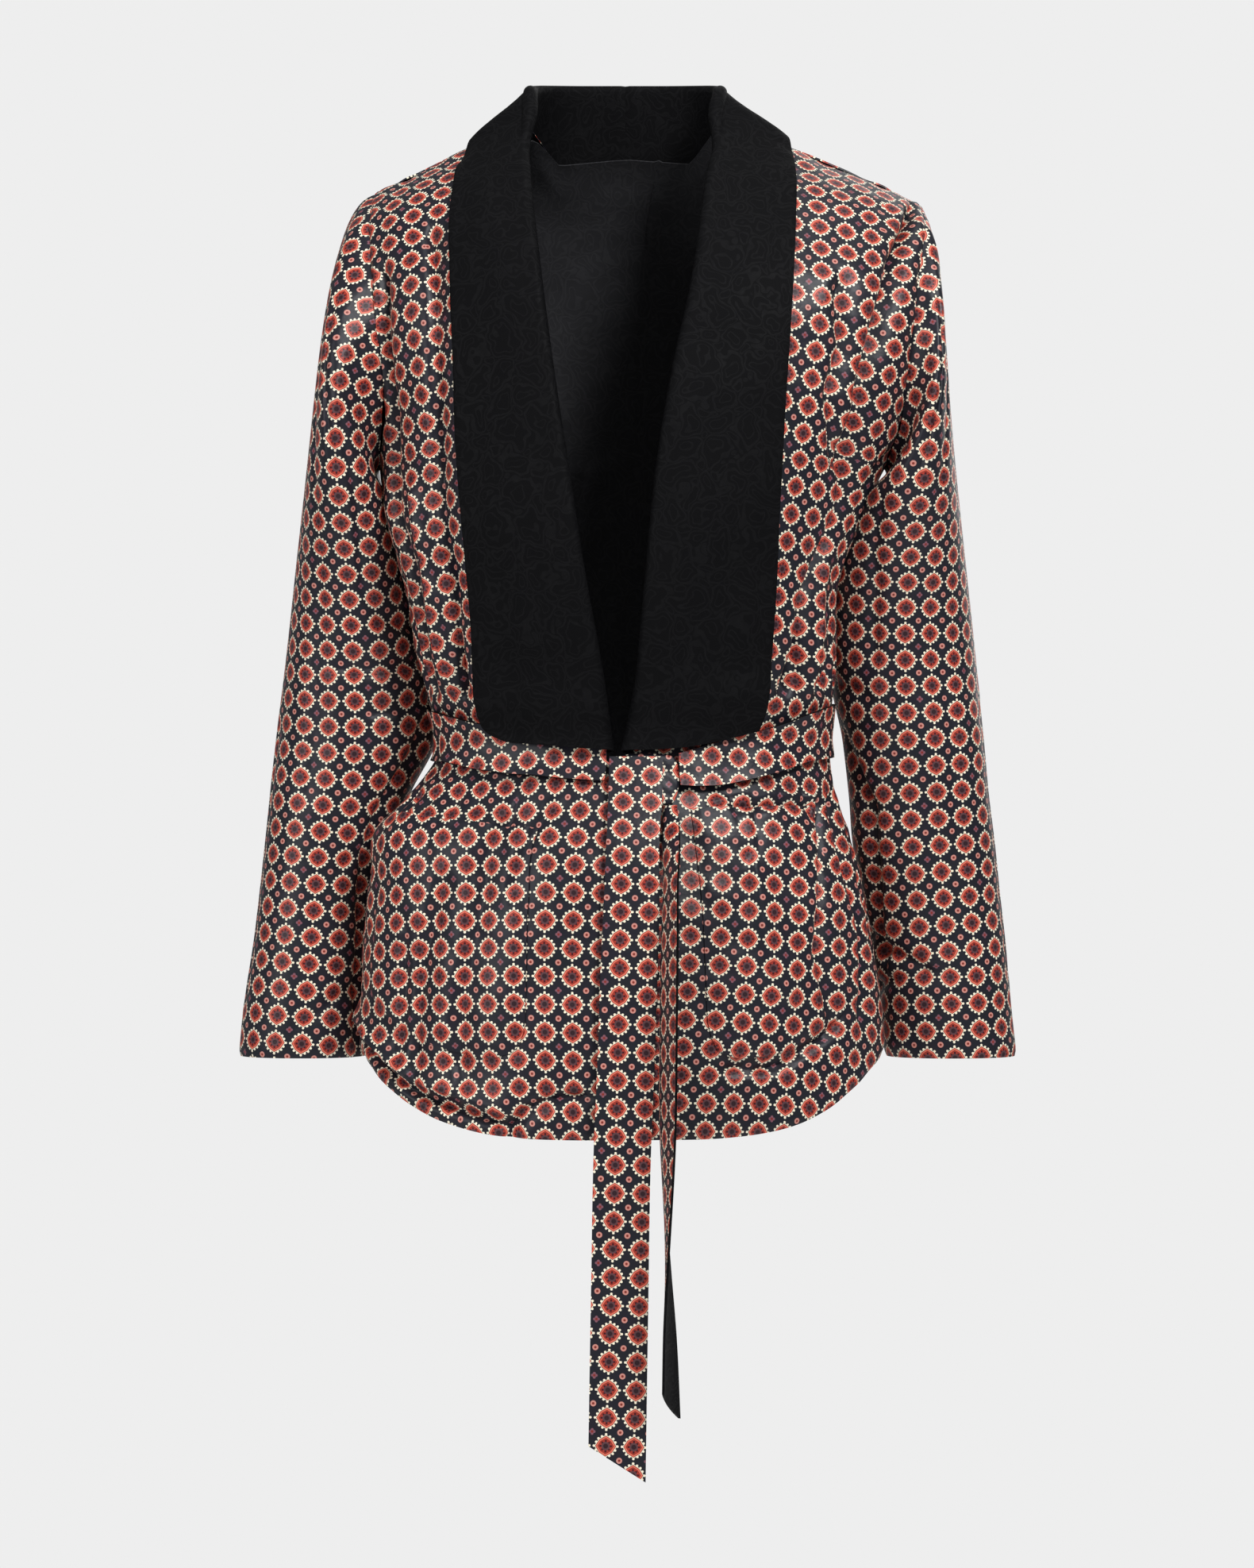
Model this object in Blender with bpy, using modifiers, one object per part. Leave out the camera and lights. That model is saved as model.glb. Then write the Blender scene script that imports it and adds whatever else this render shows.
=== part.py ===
"""A printed satin smoking jacket with a black shawl collar, worn and tied, standing open and hollow.

Metres, +Z up. The origin is the middle of the neck, level with the side of the neck.
The front faces -Y. The wearer's right side is at -X, and their right front laps over the left one.
A place on the jacket is given by its turn round the body in degrees (0 is centre front,
90 the left side seam, 180 centre back, 270 or -90 the right side seam) and by its level,
which is the height that its ring of cloth has at centre front.
"""
import bmesh
import bpy
import numpy as np

# Cloth
PANEL_WALL = 0.0016
COLLAR_WALL = 0.0018
BELT_WALL = 0.0020
POCKET_WALL = 0.0012
LINING_WALL = 0.0010
HALF_SEAM = 0.0003
SEAM = 0.0003
SEAM_TURN = 0.001

# How far each layer lies outside the body's form
LAP_RISE = 0.0030
BELT_RISE = 0.0078
LINING_SINK = 0.0050
POCKET_GAPE = 0.0018
LAPEL_RISE = 0.0046
LAPEL_RISE_OVER_BELT = 0.0128
FACING_SINK = 0.0044

# Driving lengths
ARMPIT_LEVEL = -0.235
SHOULDER_LEVEL = 0.0382
LEFT_SHOULDER_DROP = 1.10
NECK_SEAM_LEVEL = -0.002
NECK_HALF_WIDTH = 0.072
NECK_SLOPE = 0.37
LINING_DROP = 0.006
FIRST_SLEEVE_RING = -0.262

RIGHT = -1
LEFT = 1


def table(names, rows):
    """Name the columns of a short table."""
    return dict(zip(names, np.array(rows, dtype=float).T))


def read(source, key, column, at):
    """Read a column of a table smoothly between its rows."""
    knots = source[key]
    values = source[column]
    slopes = np.gradient(values, knots)
    at = np.clip(at, knots[0], knots[-1])
    low = np.clip(np.searchsorted(knots, at, side="right") - 1, 0, len(knots) - 2)
    span = knots[low + 1] - knots[low]
    part = (at - knots[low]) / span
    square = part * part
    cube = square * part
    return ((2 * cube - 3 * square + 1) * values[low]
            + (cube - 2 * square + part) * span * slopes[low]
            + (3 * square - 2 * cube) * values[low + 1]
            + (cube - square) * span * slopes[low + 1])


FORM = table(
    ("level", "right_width", "left_width", "widest_y", "front_y", "back_y", "side_lift", "lift_power", "square"),
    [
        (-0.7160, 0.1920, 0.1870, -0.026, -0.1300, 0.1260, 0.058, 2.00, 2.15),
        (-0.6600, 0.1910, 0.1835, -0.027, -0.1320, 0.1280, 0.048, 2.00, 2.15),
        (-0.6000, 0.1880, 0.1770, -0.028, -0.1315, 0.1270, 0.034, 2.00, 2.15),
        (-0.5500, 0.1840, 0.1690, -0.028, -0.1280, 0.1230, 0.022, 2.00, 2.15),
        (-0.5100, 0.1760, 0.1600, -0.026, -0.1210, 0.1160, 0.013, 2.00, 2.10),
        (-0.4800, 0.1555, 0.1505, -0.027, -0.1125, 0.1080, 0.007, 2.00, 2.05),
        (-0.4550, 0.1370, 0.1455, -0.027, -0.1045, 0.1025, 0.002, 2.00, 2.00),
        (-0.4300, 0.1310, 0.1430, -0.027, -0.1020, 0.1015, 0.000, 2.00, 2.00),
        (-0.4050, 0.1345, 0.1450, -0.028, -0.1120, 0.1045, 0.000, 2.00, 2.05),
        (-0.3700, 0.1450, 0.1485, -0.028, -0.1250, 0.1110, 0.000, 2.00, 2.10),
        (-0.3200, 0.1575, 0.1510, -0.024, -0.1350, 0.1210, 0.000, 1.80, 2.15),
        (-0.2700, 0.1690, 0.1600, -0.012, -0.1400, 0.1280, 0.000, 1.60, 2.20),
        (-0.2350, 0.1735, 0.1830, -0.002, -0.1400, 0.1305, 0.000, 1.50, 2.20),
        (-0.2000, 0.1840, 0.2090, 0.001, -0.1380, 0.1310, -0.002, 1.45, 2.20),
        (-0.1500, 0.1960, 0.2270, 0.002, -0.1300, 0.1280, -0.008, 1.40, 2.30),
        (-0.1000, 0.2000, 0.2340, 0.003, -0.1150, 0.1190, -0.020, 1.35, 2.60),
        (-0.0500, 0.2000, 0.2350, 0.004, -0.0850, 0.1010, -0.036, 1.30, 3.00),
        (0.0000, 0.1950, 0.2300, 0.005, -0.0430, 0.0660, -0.056, 1.25, 4.00),
        (0.0385, 0.1900, 0.2230, 0.006, 0.0055, 0.0065, -0.0755, 1.25, 5.00),
    ])

ARMHOLE = table(
    ("level", "front_turn", "back_turn"),
    [
        (-0.2350, 90.0, 90.0),
        (-0.2321, 84.7, 95.5),
        (-0.2236, 79.0, 101.7),
        (-0.2100, 73.8, 107.3),
        (-0.1925, 69.6, 112.0),
        (-0.1720, 66.0, 115.5),
        (-0.1500, 64.0, 117.0),
        (-0.1000, 62.0, 118.0),
        (-0.0500, 62.5, 117.5),
        (0.0000, 64.0, 116.0),
        (0.0385, 66.0, 114.0),
    ])

SHOULDER_TURN = ARMHOLE["back_turn"][-1]

# Where each front ends below the lapels
LAPPED_EDGE = {
    RIGHT: table(("level", "x"), [
        (-0.716, 0.0160), (-0.600, 0.0150), (-0.510, 0.0110), (-0.475, 0.0030), (-0.4431, -0.0110)]),
    LEFT: table(("level", "x"), [
        (-0.716, -0.0360), (-0.600, -0.0340), (-0.510, -0.0280), (-0.475, -0.0140), (-0.4431, 0.0060)]),
}

# The collar's sections round the neck: foot of the stand, roll, and the free edge on the form
NECK_STATIONS = table(
    ("foot_x", "right_roll", "left_roll", "roll_y", "roll_z", "lean", "right_x", "left_x", "level", "behind"),
    [
        (0.0000, 0.0000, 0.0000, 0.0690, 0.0402, 0.0, 0.0000, 0.0000, -0.0130, 1),
        (0.0290, 0.0320, 0.0320, 0.0660, 0.0402, 0.0, 0.0400, 0.0400, -0.0120, 1),
        (0.0500, 0.0560, 0.0560, 0.0505, 0.0402, 0.0, 0.0760, 0.0780, -0.0020, 1),
        (0.0640, 0.0680, 0.0680, 0.0270, 0.0400, 0.0, 0.1020, 0.1060, 0.0190, 1),
        (0.0715, 0.0695, 0.0690, 0.0020, 0.0365, 12.0, 0.1110, 0.1165, SHOULDER_LEVEL, 0),
        (0.0725, 0.0695, 0.0655, -0.0200, 0.0195, 40.0, 0.1160, 0.1195, 0.0215, 0),
    ])
FOOT_LIFT = 0.0026
FOOT_INSET = 0.0060
NECK_CLEARANCE = 0.0035
FACING_WIDTHS = table(("level", "width"), [(-0.080, 0.044), (-0.044, 0.032), (-0.010, 0.016), (0.004, 0.007)])

# The lapels' sections: the roll, and the free edge, both as width from the middle and level on the form
LAPEL_STATIONS = {
    RIGHT: table(("roll_level", "roll_x", "outer_x", "outer_level", "sag"), [
        (-0.4431, -0.0073, -0.0790, -0.4356, 0.0005), (-0.4240, -0.0095, -0.0945, -0.4220, 0),
        (-0.3995, -0.0129, -0.1025, -0.3960, 0), (-0.3523, -0.0212, -0.1075, -0.3500, 0),
        (-0.3053, -0.0295, -0.1112, -0.3036, 0), (-0.2358, -0.0401, -0.1165, -0.2330, 0),
        (-0.1640, -0.0507, -0.1200, -0.1640, 0), (-0.1150, -0.0570, -0.1222, -0.1200, 0),
        (-0.0717, -0.0619, -0.1230, -0.0793, 0), (-0.0420, -0.0650, -0.1240, -0.0460, 0),
        (-0.0174, -0.0668, -0.1228, -0.0200, 0), (0.0040, -0.0680, -0.1205, 0.0030, 0)]),
    LEFT: table(("roll_level", "roll_x", "outer_x", "outer_level", "sag"), [
        (-0.4431, -0.0040, 0.0970, -0.4262, 0.0055), (-0.4240, 0.0000, 0.0978, -0.4120, 0.002),
        (-0.3995, 0.0055, 0.0992, -0.3900, 0), (-0.3523, 0.0108, 0.1025, -0.3500, 0),
        (-0.3053, 0.0150, 0.1050, -0.3036, 0), (-0.2358, 0.0222, 0.1088, -0.2330, 0),
        (-0.1640, 0.0345, 0.1135, -0.1640, 0), (-0.1150, 0.0450, 0.1165, -0.1200, 0),
        (-0.0689, 0.0518, 0.1194, -0.0720, 0), (-0.0440, 0.0545, 0.1205, -0.0470, 0),
        (-0.0218, 0.0571, 0.1215, -0.0245, 0), (0.0040, 0.0620, 0.1215, 0.0030, 0)]),
}
LAPEL_RINGS = [0.004, -0.010, -0.044, -0.080, -0.118, -0.155, -0.186, -0.210, -0.235, -0.278,
               -0.320, -0.358, -0.388, -0.408, -0.428, -0.4431]

# The largest folds: from one place to another on the form, with the trough's half width and its depth
FOLDS = [
    # turn, level, turn, level, half width, depth
    (-62, -0.120, -66, -0.230, 0.012, -0.0050),
    (-66, -0.230, -70, -0.310, 0.013, -0.0070),
    (-70, -0.310, -66, -0.395, 0.014, -0.0065),
    (-47, -0.130, -53, -0.300, 0.010, -0.0045),
    (-53, -0.300, -48, -0.395, 0.011, -0.0060),
    (-58, -0.330, -57, -0.395, 0.009, 0.0040),
    (61, -0.010, 60, -0.110, 0.012, -0.0060),
    (60, -0.110, 55, -0.190, 0.015, -0.0110),
    (55, -0.190, 68, -0.270, 0.015, -0.0110),
    (68, -0.270, 74, -0.390, 0.014, -0.0060),
    (52, -0.280, 50, -0.395, 0.010, -0.0045),
    (62, -0.330, 60, -0.395, 0.009, 0.0035),
    (-36, -0.495, -41, -0.610, 0.012, -0.0040),
    (-47, -0.575, -60, -0.650, 0.012, -0.0040),
    (-84, -0.690, -48, -0.692, 0.009, 0.0045),
    (-78, -0.672, -45, -0.672, 0.007, -0.0035),
    (-26, -0.490, -20, -0.600, 0.012, -0.0030),
    (62, -0.480, 66, -0.600, 0.012, -0.0035),
    (80, -0.500, 84, -0.640, 0.014, -0.0030),
    (112, -0.395, 122, -0.250, 0.016, -0.0050),
    (138, -0.395, 146, -0.230, 0.017, -0.0060),
    (163, -0.395, 166, -0.270, 0.015, -0.0040),
    (196, -0.395, 190, -0.240, 0.016, -0.0055),
    (222, -0.395, 214, -0.220, 0.017, -0.0060),
    (248, -0.395, 236, -0.260, 0.016, -0.0050),
    (118, -0.480, 116, -0.640, 0.018, -0.0050),
    (150, -0.480, 153, -0.600, 0.018, -0.0055),
    (186, -0.480, 184, -0.660, 0.018, -0.0050),
    (212, -0.480, 208, -0.590, 0.017, -0.0050),
    (240, -0.480, 244, -0.650, 0.018, -0.0055),
]
FOLD_RADIUS = 0.15
EVEN_STEPS = 49
BELT_ZONE = (-0.478, -0.402)
BELT_ZONE_EDGE = 0.022


def fade(value, start, end):
    """Rise smoothly from 0 at start to 1 at end."""
    part = np.clip((value - start) / (end - start), 0, 1)
    return part * part * (3 - 2 * part)


def folds(turn, level):
    """Depth of the folds at a place on the form, none of them under the belt."""
    depth = np.zeros(np.broadcast(turn, level).shape)
    reach = np.radians(turn) * FOLD_RADIUS
    for turn_a, level_a, turn_b, level_b, half_width, rise in FOLDS:
        start = np.radians(turn_a) * FOLD_RADIUS
        run = np.radians(turn_b) * FOLD_RADIUS - start
        climb = level_b - level_a
        along = ((reach - start) * run + (level - level_a) * climb) / (run * run + climb * climb)
        along = np.clip(along, 0, 1)
        away = (reach - start - along * run) ** 2 + (level - level_a - along * climb) ** 2
        depth = depth + rise * np.exp(-away / half_width ** 2)
    below = 1 - fade(level, BELT_ZONE[0] - BELT_ZONE_EDGE, BELT_ZONE[0])
    above = fade(level, BELT_ZONE[1], BELT_ZONE[1] + BELT_ZONE_EDGE)
    return depth * (below + above)


def form(turn, level):
    """The bare form of the body of the jacket."""
    angle = np.radians(turn)
    across = np.sin(angle)
    along = np.cos(angle)
    width = np.where(across < 0, read(FORM, "level", "right_width", level), read(FORM, "level", "left_width", level))
    rounding = 2 / read(FORM, "level", "square", level)
    middle = read(FORM, "level", "widest_y", level)
    depth = np.where(along > 0, read(FORM, "level", "front_y", level), read(FORM, "level", "back_y", level)) - middle
    share = np.abs(across) ** rounding
    x = np.sign(across) * width * share
    y = middle + depth * np.abs(along) ** rounding - np.sign(along) * HALF_SEAM
    lift = read(FORM, "level", "side_lift", level)
    lift = lift * np.where((across > 0) & (lift < 0), LEFT_SHOULDER_DROP, 1.0)
    z = level + lift * share ** read(FORM, "level", "lift_power", level)
    return np.stack([x, y, z], axis=-1)


def facing(turn, level):
    """The direction out of the form."""
    step = 0.6
    rise = 0.002
    side = np.where(np.abs((turn + 90) % 180 - 90) < 90 - step, step, -step)
    around = form(turn + side, level) - form(turn - side, level)
    around = around * np.sign(side)[..., None]
    top = np.minimum(level + rise, SHOULDER_LEVEL)
    up = form(turn, top) - form(turn, top - 2 * rise)
    out = np.cross(around, up)
    return out / np.linalg.norm(out, axis=-1, keepdims=True)


def body(turn, level, rise=0.0):
    """A place on the folded cloth of the body, moved out by rise."""
    turn, level = np.broadcast_arrays(np.asarray(turn, float), np.asarray(level, float))
    out = facing(turn, level)
    return form(turn, level) + out * (folds(turn, level) + rise)[..., None]


def turn_of(x, level):
    """The turn on the front at which the form reaches x."""
    width = np.where(x < 0, read(FORM, "level", "right_width", level), read(FORM, "level", "left_width", level))
    share = np.clip(np.abs(x) / width, 0, 1) ** (read(FORM, "level", "square", level) / 2)
    return np.sign(x) * np.degrees(np.arcsin(share))


def even_turn(start, end, level, share):
    """The turn that lies a given share of the way along a ring from start to end, measured on the cloth."""
    start, end, level, share = np.broadcast_arrays(start, end, level, share)
    parts = np.linspace(0, 1, EVEN_STEPS)
    turns = start[:, None] + (end - start)[:, None] * parts
    spots = form(turns, np.repeat(level[:, None], EVEN_STEPS, axis=1))
    length = np.cumsum(np.linalg.norm(np.diff(spots, axis=1), axis=-1), axis=1)
    length = np.concatenate([np.zeros((len(length), 1)), length], axis=1) / length[:, -1:]
    low = np.clip(np.sum(length < share[:, None], axis=1) - 1, 0, EVEN_STEPS - 2)
    row = np.arange(len(low))
    part = (share - length[row, low]) / (length[row, low + 1] - length[row, low])
    return turns[row, low] + part * (turns[row, low + 1] - turns[row, low])


def lapel_rise(level):
    """How far out the lapel's leaf lies, further where it covers the belt's edge."""
    return LAPEL_RISE + (LAPEL_RISE_OVER_BELT - LAPEL_RISE) * fade(-level, 0.375, 0.425)


def roll_radius(level):
    """Radius of the roll that joins the lapel's leaf to its facing."""
    return (lapel_rise(level) + FACING_SINK) / 2


def front_edge(side, level):
    """How far across the body a front reaches: into the lapel's roll above, to its lapped edge below."""
    stations = LAPEL_STATIONS[side]
    levels = stations["roll_level"]
    roll = {"level": levels, "x": stations["roll_x"] + side * (roll_radius(levels) + COLLAR_WALL / 2)}
    above = read(roll, "level", "x", level) + side * NECK_CLEARANCE * fade(level, -0.040, -0.005)
    top = fade(level, levels[-1], SHOULDER_LEVEL)
    above = above + (side * NECK_HALF_WIDTH - above) * top
    below = read(LAPPED_EDGE[side], "level", "x", level)
    part = fade(level, levels[0] - 0.012, levels[0] - 0.002)
    return below + (above - below) * part


def lap(side, turn):
    """How far a front is moved out so that the right one laps over the left."""
    if side == LEFT:
        return np.zeros(np.shape(turn))
    return LAP_RISE * fade(turn, -34, -17)


# Levels of the rings of cloth, closer at the belt, at the hem and over the shoulder
LOWER_RINGS = [-0.716, -0.702, -0.682, -0.650, -0.610, -0.570, -0.532, -0.503, -0.478, -0.456,
               -0.446, -0.428, -0.408, -0.388, -0.358, -0.320, -0.278, ARMPIT_LEVEL]
UPPER_RINGS = [-0.2321, -0.2236, -0.208, -0.186, -0.155, -0.118, -0.080, -0.044, -0.010, 0.016, SHOULDER_LEVEL]
RINGS = np.array(LOWER_RINGS + UPPER_RINGS)
LINING_RINGS = np.array([-0.698, -0.650, -0.570, -0.503, -0.456, -0.428, -0.388, -0.320, -0.278, ARMPIT_LEVEL]
                        + UPPER_RINGS[1:])
ARMHOLE_RINGS = (LOWER_RINGS[-1:] + UPPER_RINGS)[::-1]


def ring_level(up, rings):
    """The level of a ring, from 0 at the lowest to 1 at the highest."""
    return np.interp(up, np.linspace(0, 1, len(rings)), rings)


# Mesh building

def material(name, color, roughness, metallic=0.0):
    """A plain finish in the colour of a cloth."""
    finish = bpy.data.materials.new(name)
    finish.use_nodes = True
    shader = finish.node_tree.nodes["Principled BSDF"]
    shader.inputs["Base Color"].default_value = (*color, 1.0)
    shader.inputs["Roughness"].default_value = roughness
    shader.inputs["Metallic"].default_value = metallic
    finish.diffuse_color = (*color, 1.0)
    return finish


def sheet(name, place, cells, wall, finish, closed=False):
    """A sheet of cloth: a flat grid shaped by place(across, up), then given its wall."""
    bpy.ops.mesh.primitive_grid_add(x_subdivisions=cells[0], y_subdivisions=cells[1], size=2)
    piece = bpy.context.object
    piece.name = name
    mesh = piece.data
    mesh.name = name
    flat = np.empty(len(mesh.vertices) * 3)
    mesh.vertices.foreach_get("co", flat)
    flat = flat.reshape(-1, 3)
    spots = place(flat[:, 0] / 2 + 0.5, flat[:, 1] / 2 + 0.5)
    mesh.vertices.foreach_set("co", np.asarray(spots, dtype=float).ravel())
    if closed:
        work = bmesh.new()
        work.from_mesh(mesh)
        bmesh.ops.remove_doubles(work, verts=work.verts, dist=0.00002)
        work.to_mesh(mesh)
        work.free()
    mesh.shade_smooth()
    mesh.materials.append(finish)
    shell = piece.modifiers.new("Wall", "SOLIDIFY")
    shell.thickness = wall
    shell.offset = 0
    collection.objects.link(piece)
    for other in list(piece.users_collection):
        if other is not collection:
            other.objects.unlink(piece)
    return piece


# Body panels

def front_panel(side):
    """Place of a point of one front, from hem to shoulder."""
    def place(across, up):
        level = ring_level(up, RINGS)
        edge = turn_of(front_edge(side, level), level)
        outer = np.where(level > ARMPIT_LEVEL, read(ARMHOLE, "level", "front_turn", level), 90.0)
        if side == RIGHT:
            turn = even_turn(-outer, edge, level, across)
        else:
            turn = even_turn(edge, outer, level, across)
        return body(turn, level, lap(side, turn))
    return place


def neck_level(x):
    """The level of the back's top edge, which drops from the shoulder to the neck seam."""
    reach = np.minimum(np.abs(x) / NECK_HALF_WIDTH, 1)
    part = NECK_SLOPE * reach + (1 - NECK_SLOPE) * fade(reach, 0.72, 1.0)
    return NECK_SEAM_LEVEL + (SHOULDER_LEVEL - NECK_SEAM_LEVEL) * part


def back_panel(rings, rise=0.0, drop=0.0, share=1.0):
    """Place of a point of the back, or of a layer that lies on it; its top edge drops to the neck seam."""
    def place(across, up):
        middle = 0.5 + (across - 0.5) * share
        ring = ring_level(up, rings)
        outer = np.where(ring > ARMPIT_LEVEL, read(ARMHOLE, "level", "back_turn", ring), 90.0)
        turn = even_turn(outer + SEAM_TURN, 360 - outer - SEAM_TURN, ring, middle)
        shoulder = np.full(len(ring), SHOULDER_LEVEL)
        top_turn = even_turn(SHOULDER_TURN, 360 - SHOULDER_TURN, shoulder, middle)
        top = neck_level(form(top_turn, shoulder)[:, 0]) - drop
        part = np.clip((ring - ARMPIT_LEVEL) / (SHOULDER_LEVEL - ARMPIT_LEVEL), 0, 1)
        level = ring - (SHOULDER_LEVEL - top) * part ** 2
        return body(turn, level, rise)
    return place


# Sleeves

SLEEVES = {
    RIGHT: table(("z", "inner", "outer", "middle_y", "half_depth"), [
        (-0.665, 0.1905, 0.2819, 0.028, 0.0430),
        (-0.620, 0.1885, 0.2765, 0.029, 0.0440),
        (-0.580, 0.1860, 0.2710, 0.030, 0.0450),
        (-0.540, 0.1835, 0.2660, 0.031, 0.0455),
        (-0.505, 0.1740, 0.2615, 0.031, 0.0465),
        (-0.470, 0.1580, 0.2569, 0.030, 0.0480),
        (-0.430, 0.1420, 0.2520, 0.027, 0.0510),
        (-0.390, 0.1430, 0.2470, 0.024, 0.0545),
        (-0.345, 0.1530, 0.2420, 0.020, 0.0590),
        (-0.300, 0.1640, 0.2365, 0.012, 0.0650),
        (FIRST_SLEEVE_RING, 0.1745, 0.2325, 0.006, 0.0700)]),
    LEFT: table(("z", "inner", "outer", "middle_y", "half_depth"), [
        (-0.665, 0.1915, 0.2854, 0.026, 0.0430),
        (-0.625, 0.1875, 0.2795, 0.027, 0.0440),
        (-0.585, 0.1810, 0.2755, 0.028, 0.0450),
        (-0.545, 0.1745, 0.2710, 0.028, 0.0455),
        (-0.510, 0.1680, 0.2670, 0.026, 0.0465),
        (-0.473, 0.1650, 0.2633, 0.025, 0.0485),
        (-0.430, 0.1600, 0.2590, 0.024, 0.0510),
        (-0.390, 0.1540, 0.2545, 0.023, 0.0545),
        (-0.345, 0.1500, 0.2490, 0.020, 0.0590),
        (-0.300, 0.1550, 0.2440, 0.012, 0.0650),
        (FIRST_SLEEVE_RING, 0.1740, 0.2395, 0.006, 0.0700)]),
}
SLEEVE_SQUARE = 2.15
SLEEVE_LENGTH_SHARE = 0.625
CAP_FULLNESS = {RIGHT: 0.155, LEFT: 0.045}
ARMPIT_FULLNESS = 0.52
SLEEVE_RINGS = 16
CAP_CELLS = 6

SLEEVE_FOLDS = [
    # round the sleeve in degrees, height, round, height, half width, depth; 90 is its front, 0 its outside
    (70, -0.215, 50, -0.330, 0.012, -0.0040),
    (120, -0.250, 100, -0.330, 0.012, -0.0050),
    (150, -0.380, 60, -0.415, 0.012, -0.0045),
    (150, -0.450, 70, -0.470, 0.012, -0.0040),
    (250, -0.390, 310, -0.430, 0.013, -0.0045),
    (160, -0.560, 110, -0.600, 0.012, -0.0040),
    (230, -0.300, 290, -0.350, 0.013, -0.0040),
    (60, -0.520, 80, -0.600, 0.014, -0.0030),
]
SLEEVE_RADIUS = 0.055


def armhole_loop(side):
    """The panels' edge round the armhole, at their own rings, from the shoulder by the front and back.

    Gives each place, the direction on past the panel's edge, the direction out of the panel,
    and how far round the loop it is.
    """
    levels = np.array(ARMHOLE_RINGS)
    halves = []
    for column, step in (("front_turn", -3.0), ("back_turn", 3.0)):
        turns = side * read(ARMHOLE, "level", column, levels)
        edge = body(turns, levels)
        inner = body(turns + side * step, levels)
        out = facing(turns, levels)
        along = np.gradient(edge, axis=0)
        past = np.cross(along, out)
        past = past * np.sign(np.sum(past * (edge - inner), axis=-1, keepdims=True))
        past[-1] = (0, 0, 1)
        past = past / np.linalg.norm(past, axis=-1, keepdims=True)
        halves.append(np.concatenate([edge, past, out], axis=-1))
    front, back = halves[0], halves[1][::-1]
    loop = np.concatenate([front, back[1:]])
    steps = np.linalg.norm(np.diff(loop[:, :3], axis=0), axis=1)
    half = len(levels) - 1
    reach = np.concatenate([np.cumsum(steps[:half]) / steps[:half].sum() / 2,
                            0.5 + np.cumsum(steps[half:]) / steps[half:].sum() / 2])
    return loop, np.concatenate([[0], reach])


def sleeve_ring(side, round_turn, height):
    """A place on the sleeve's tube below the armpit; round_turn 0 is its outside, 90 its front."""
    angle = np.radians(round_turn)
    source = SLEEVES[side]
    inner = read(source, "z", "inner", height)
    outer = read(source, "z", "outer", height)
    cosine = np.cos(angle)
    sine = np.sin(angle)
    rounding = 2 / SLEEVE_SQUARE
    x = (inner + outer) / 2 + (outer - inner) / 2 * np.sign(cosine) * np.abs(cosine) ** rounding
    y = (read(source, "z", "middle_y", height)
         - read(source, "z", "half_depth", height) * np.sign(sine) * np.abs(sine) ** rounding)
    return np.stack([side * x, y, height], axis=-1)


def sleeve_folds(round_turn, height):
    """Depth of the sleeve's folds."""
    depth = np.zeros(np.shape(height))
    for turn_a, height_a, turn_b, height_b, half_width, rise in SLEEVE_FOLDS:
        start = np.radians(turn_a) * SLEEVE_RADIUS
        run = np.radians(turn_b) * SLEEVE_RADIUS - start
        climb = height_b - height_a
        reach = np.radians(round_turn % 360) * SLEEVE_RADIUS
        along = np.clip(((reach - start) * run + (height - height_a) * climb) / (run * run + climb * climb), 0, 1)
        away = (reach - start - along * run) ** 2 + (height - height_a - along * climb) ** 2
        depth = depth + rise * np.exp(-away / half_width ** 2)
    return depth


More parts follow.
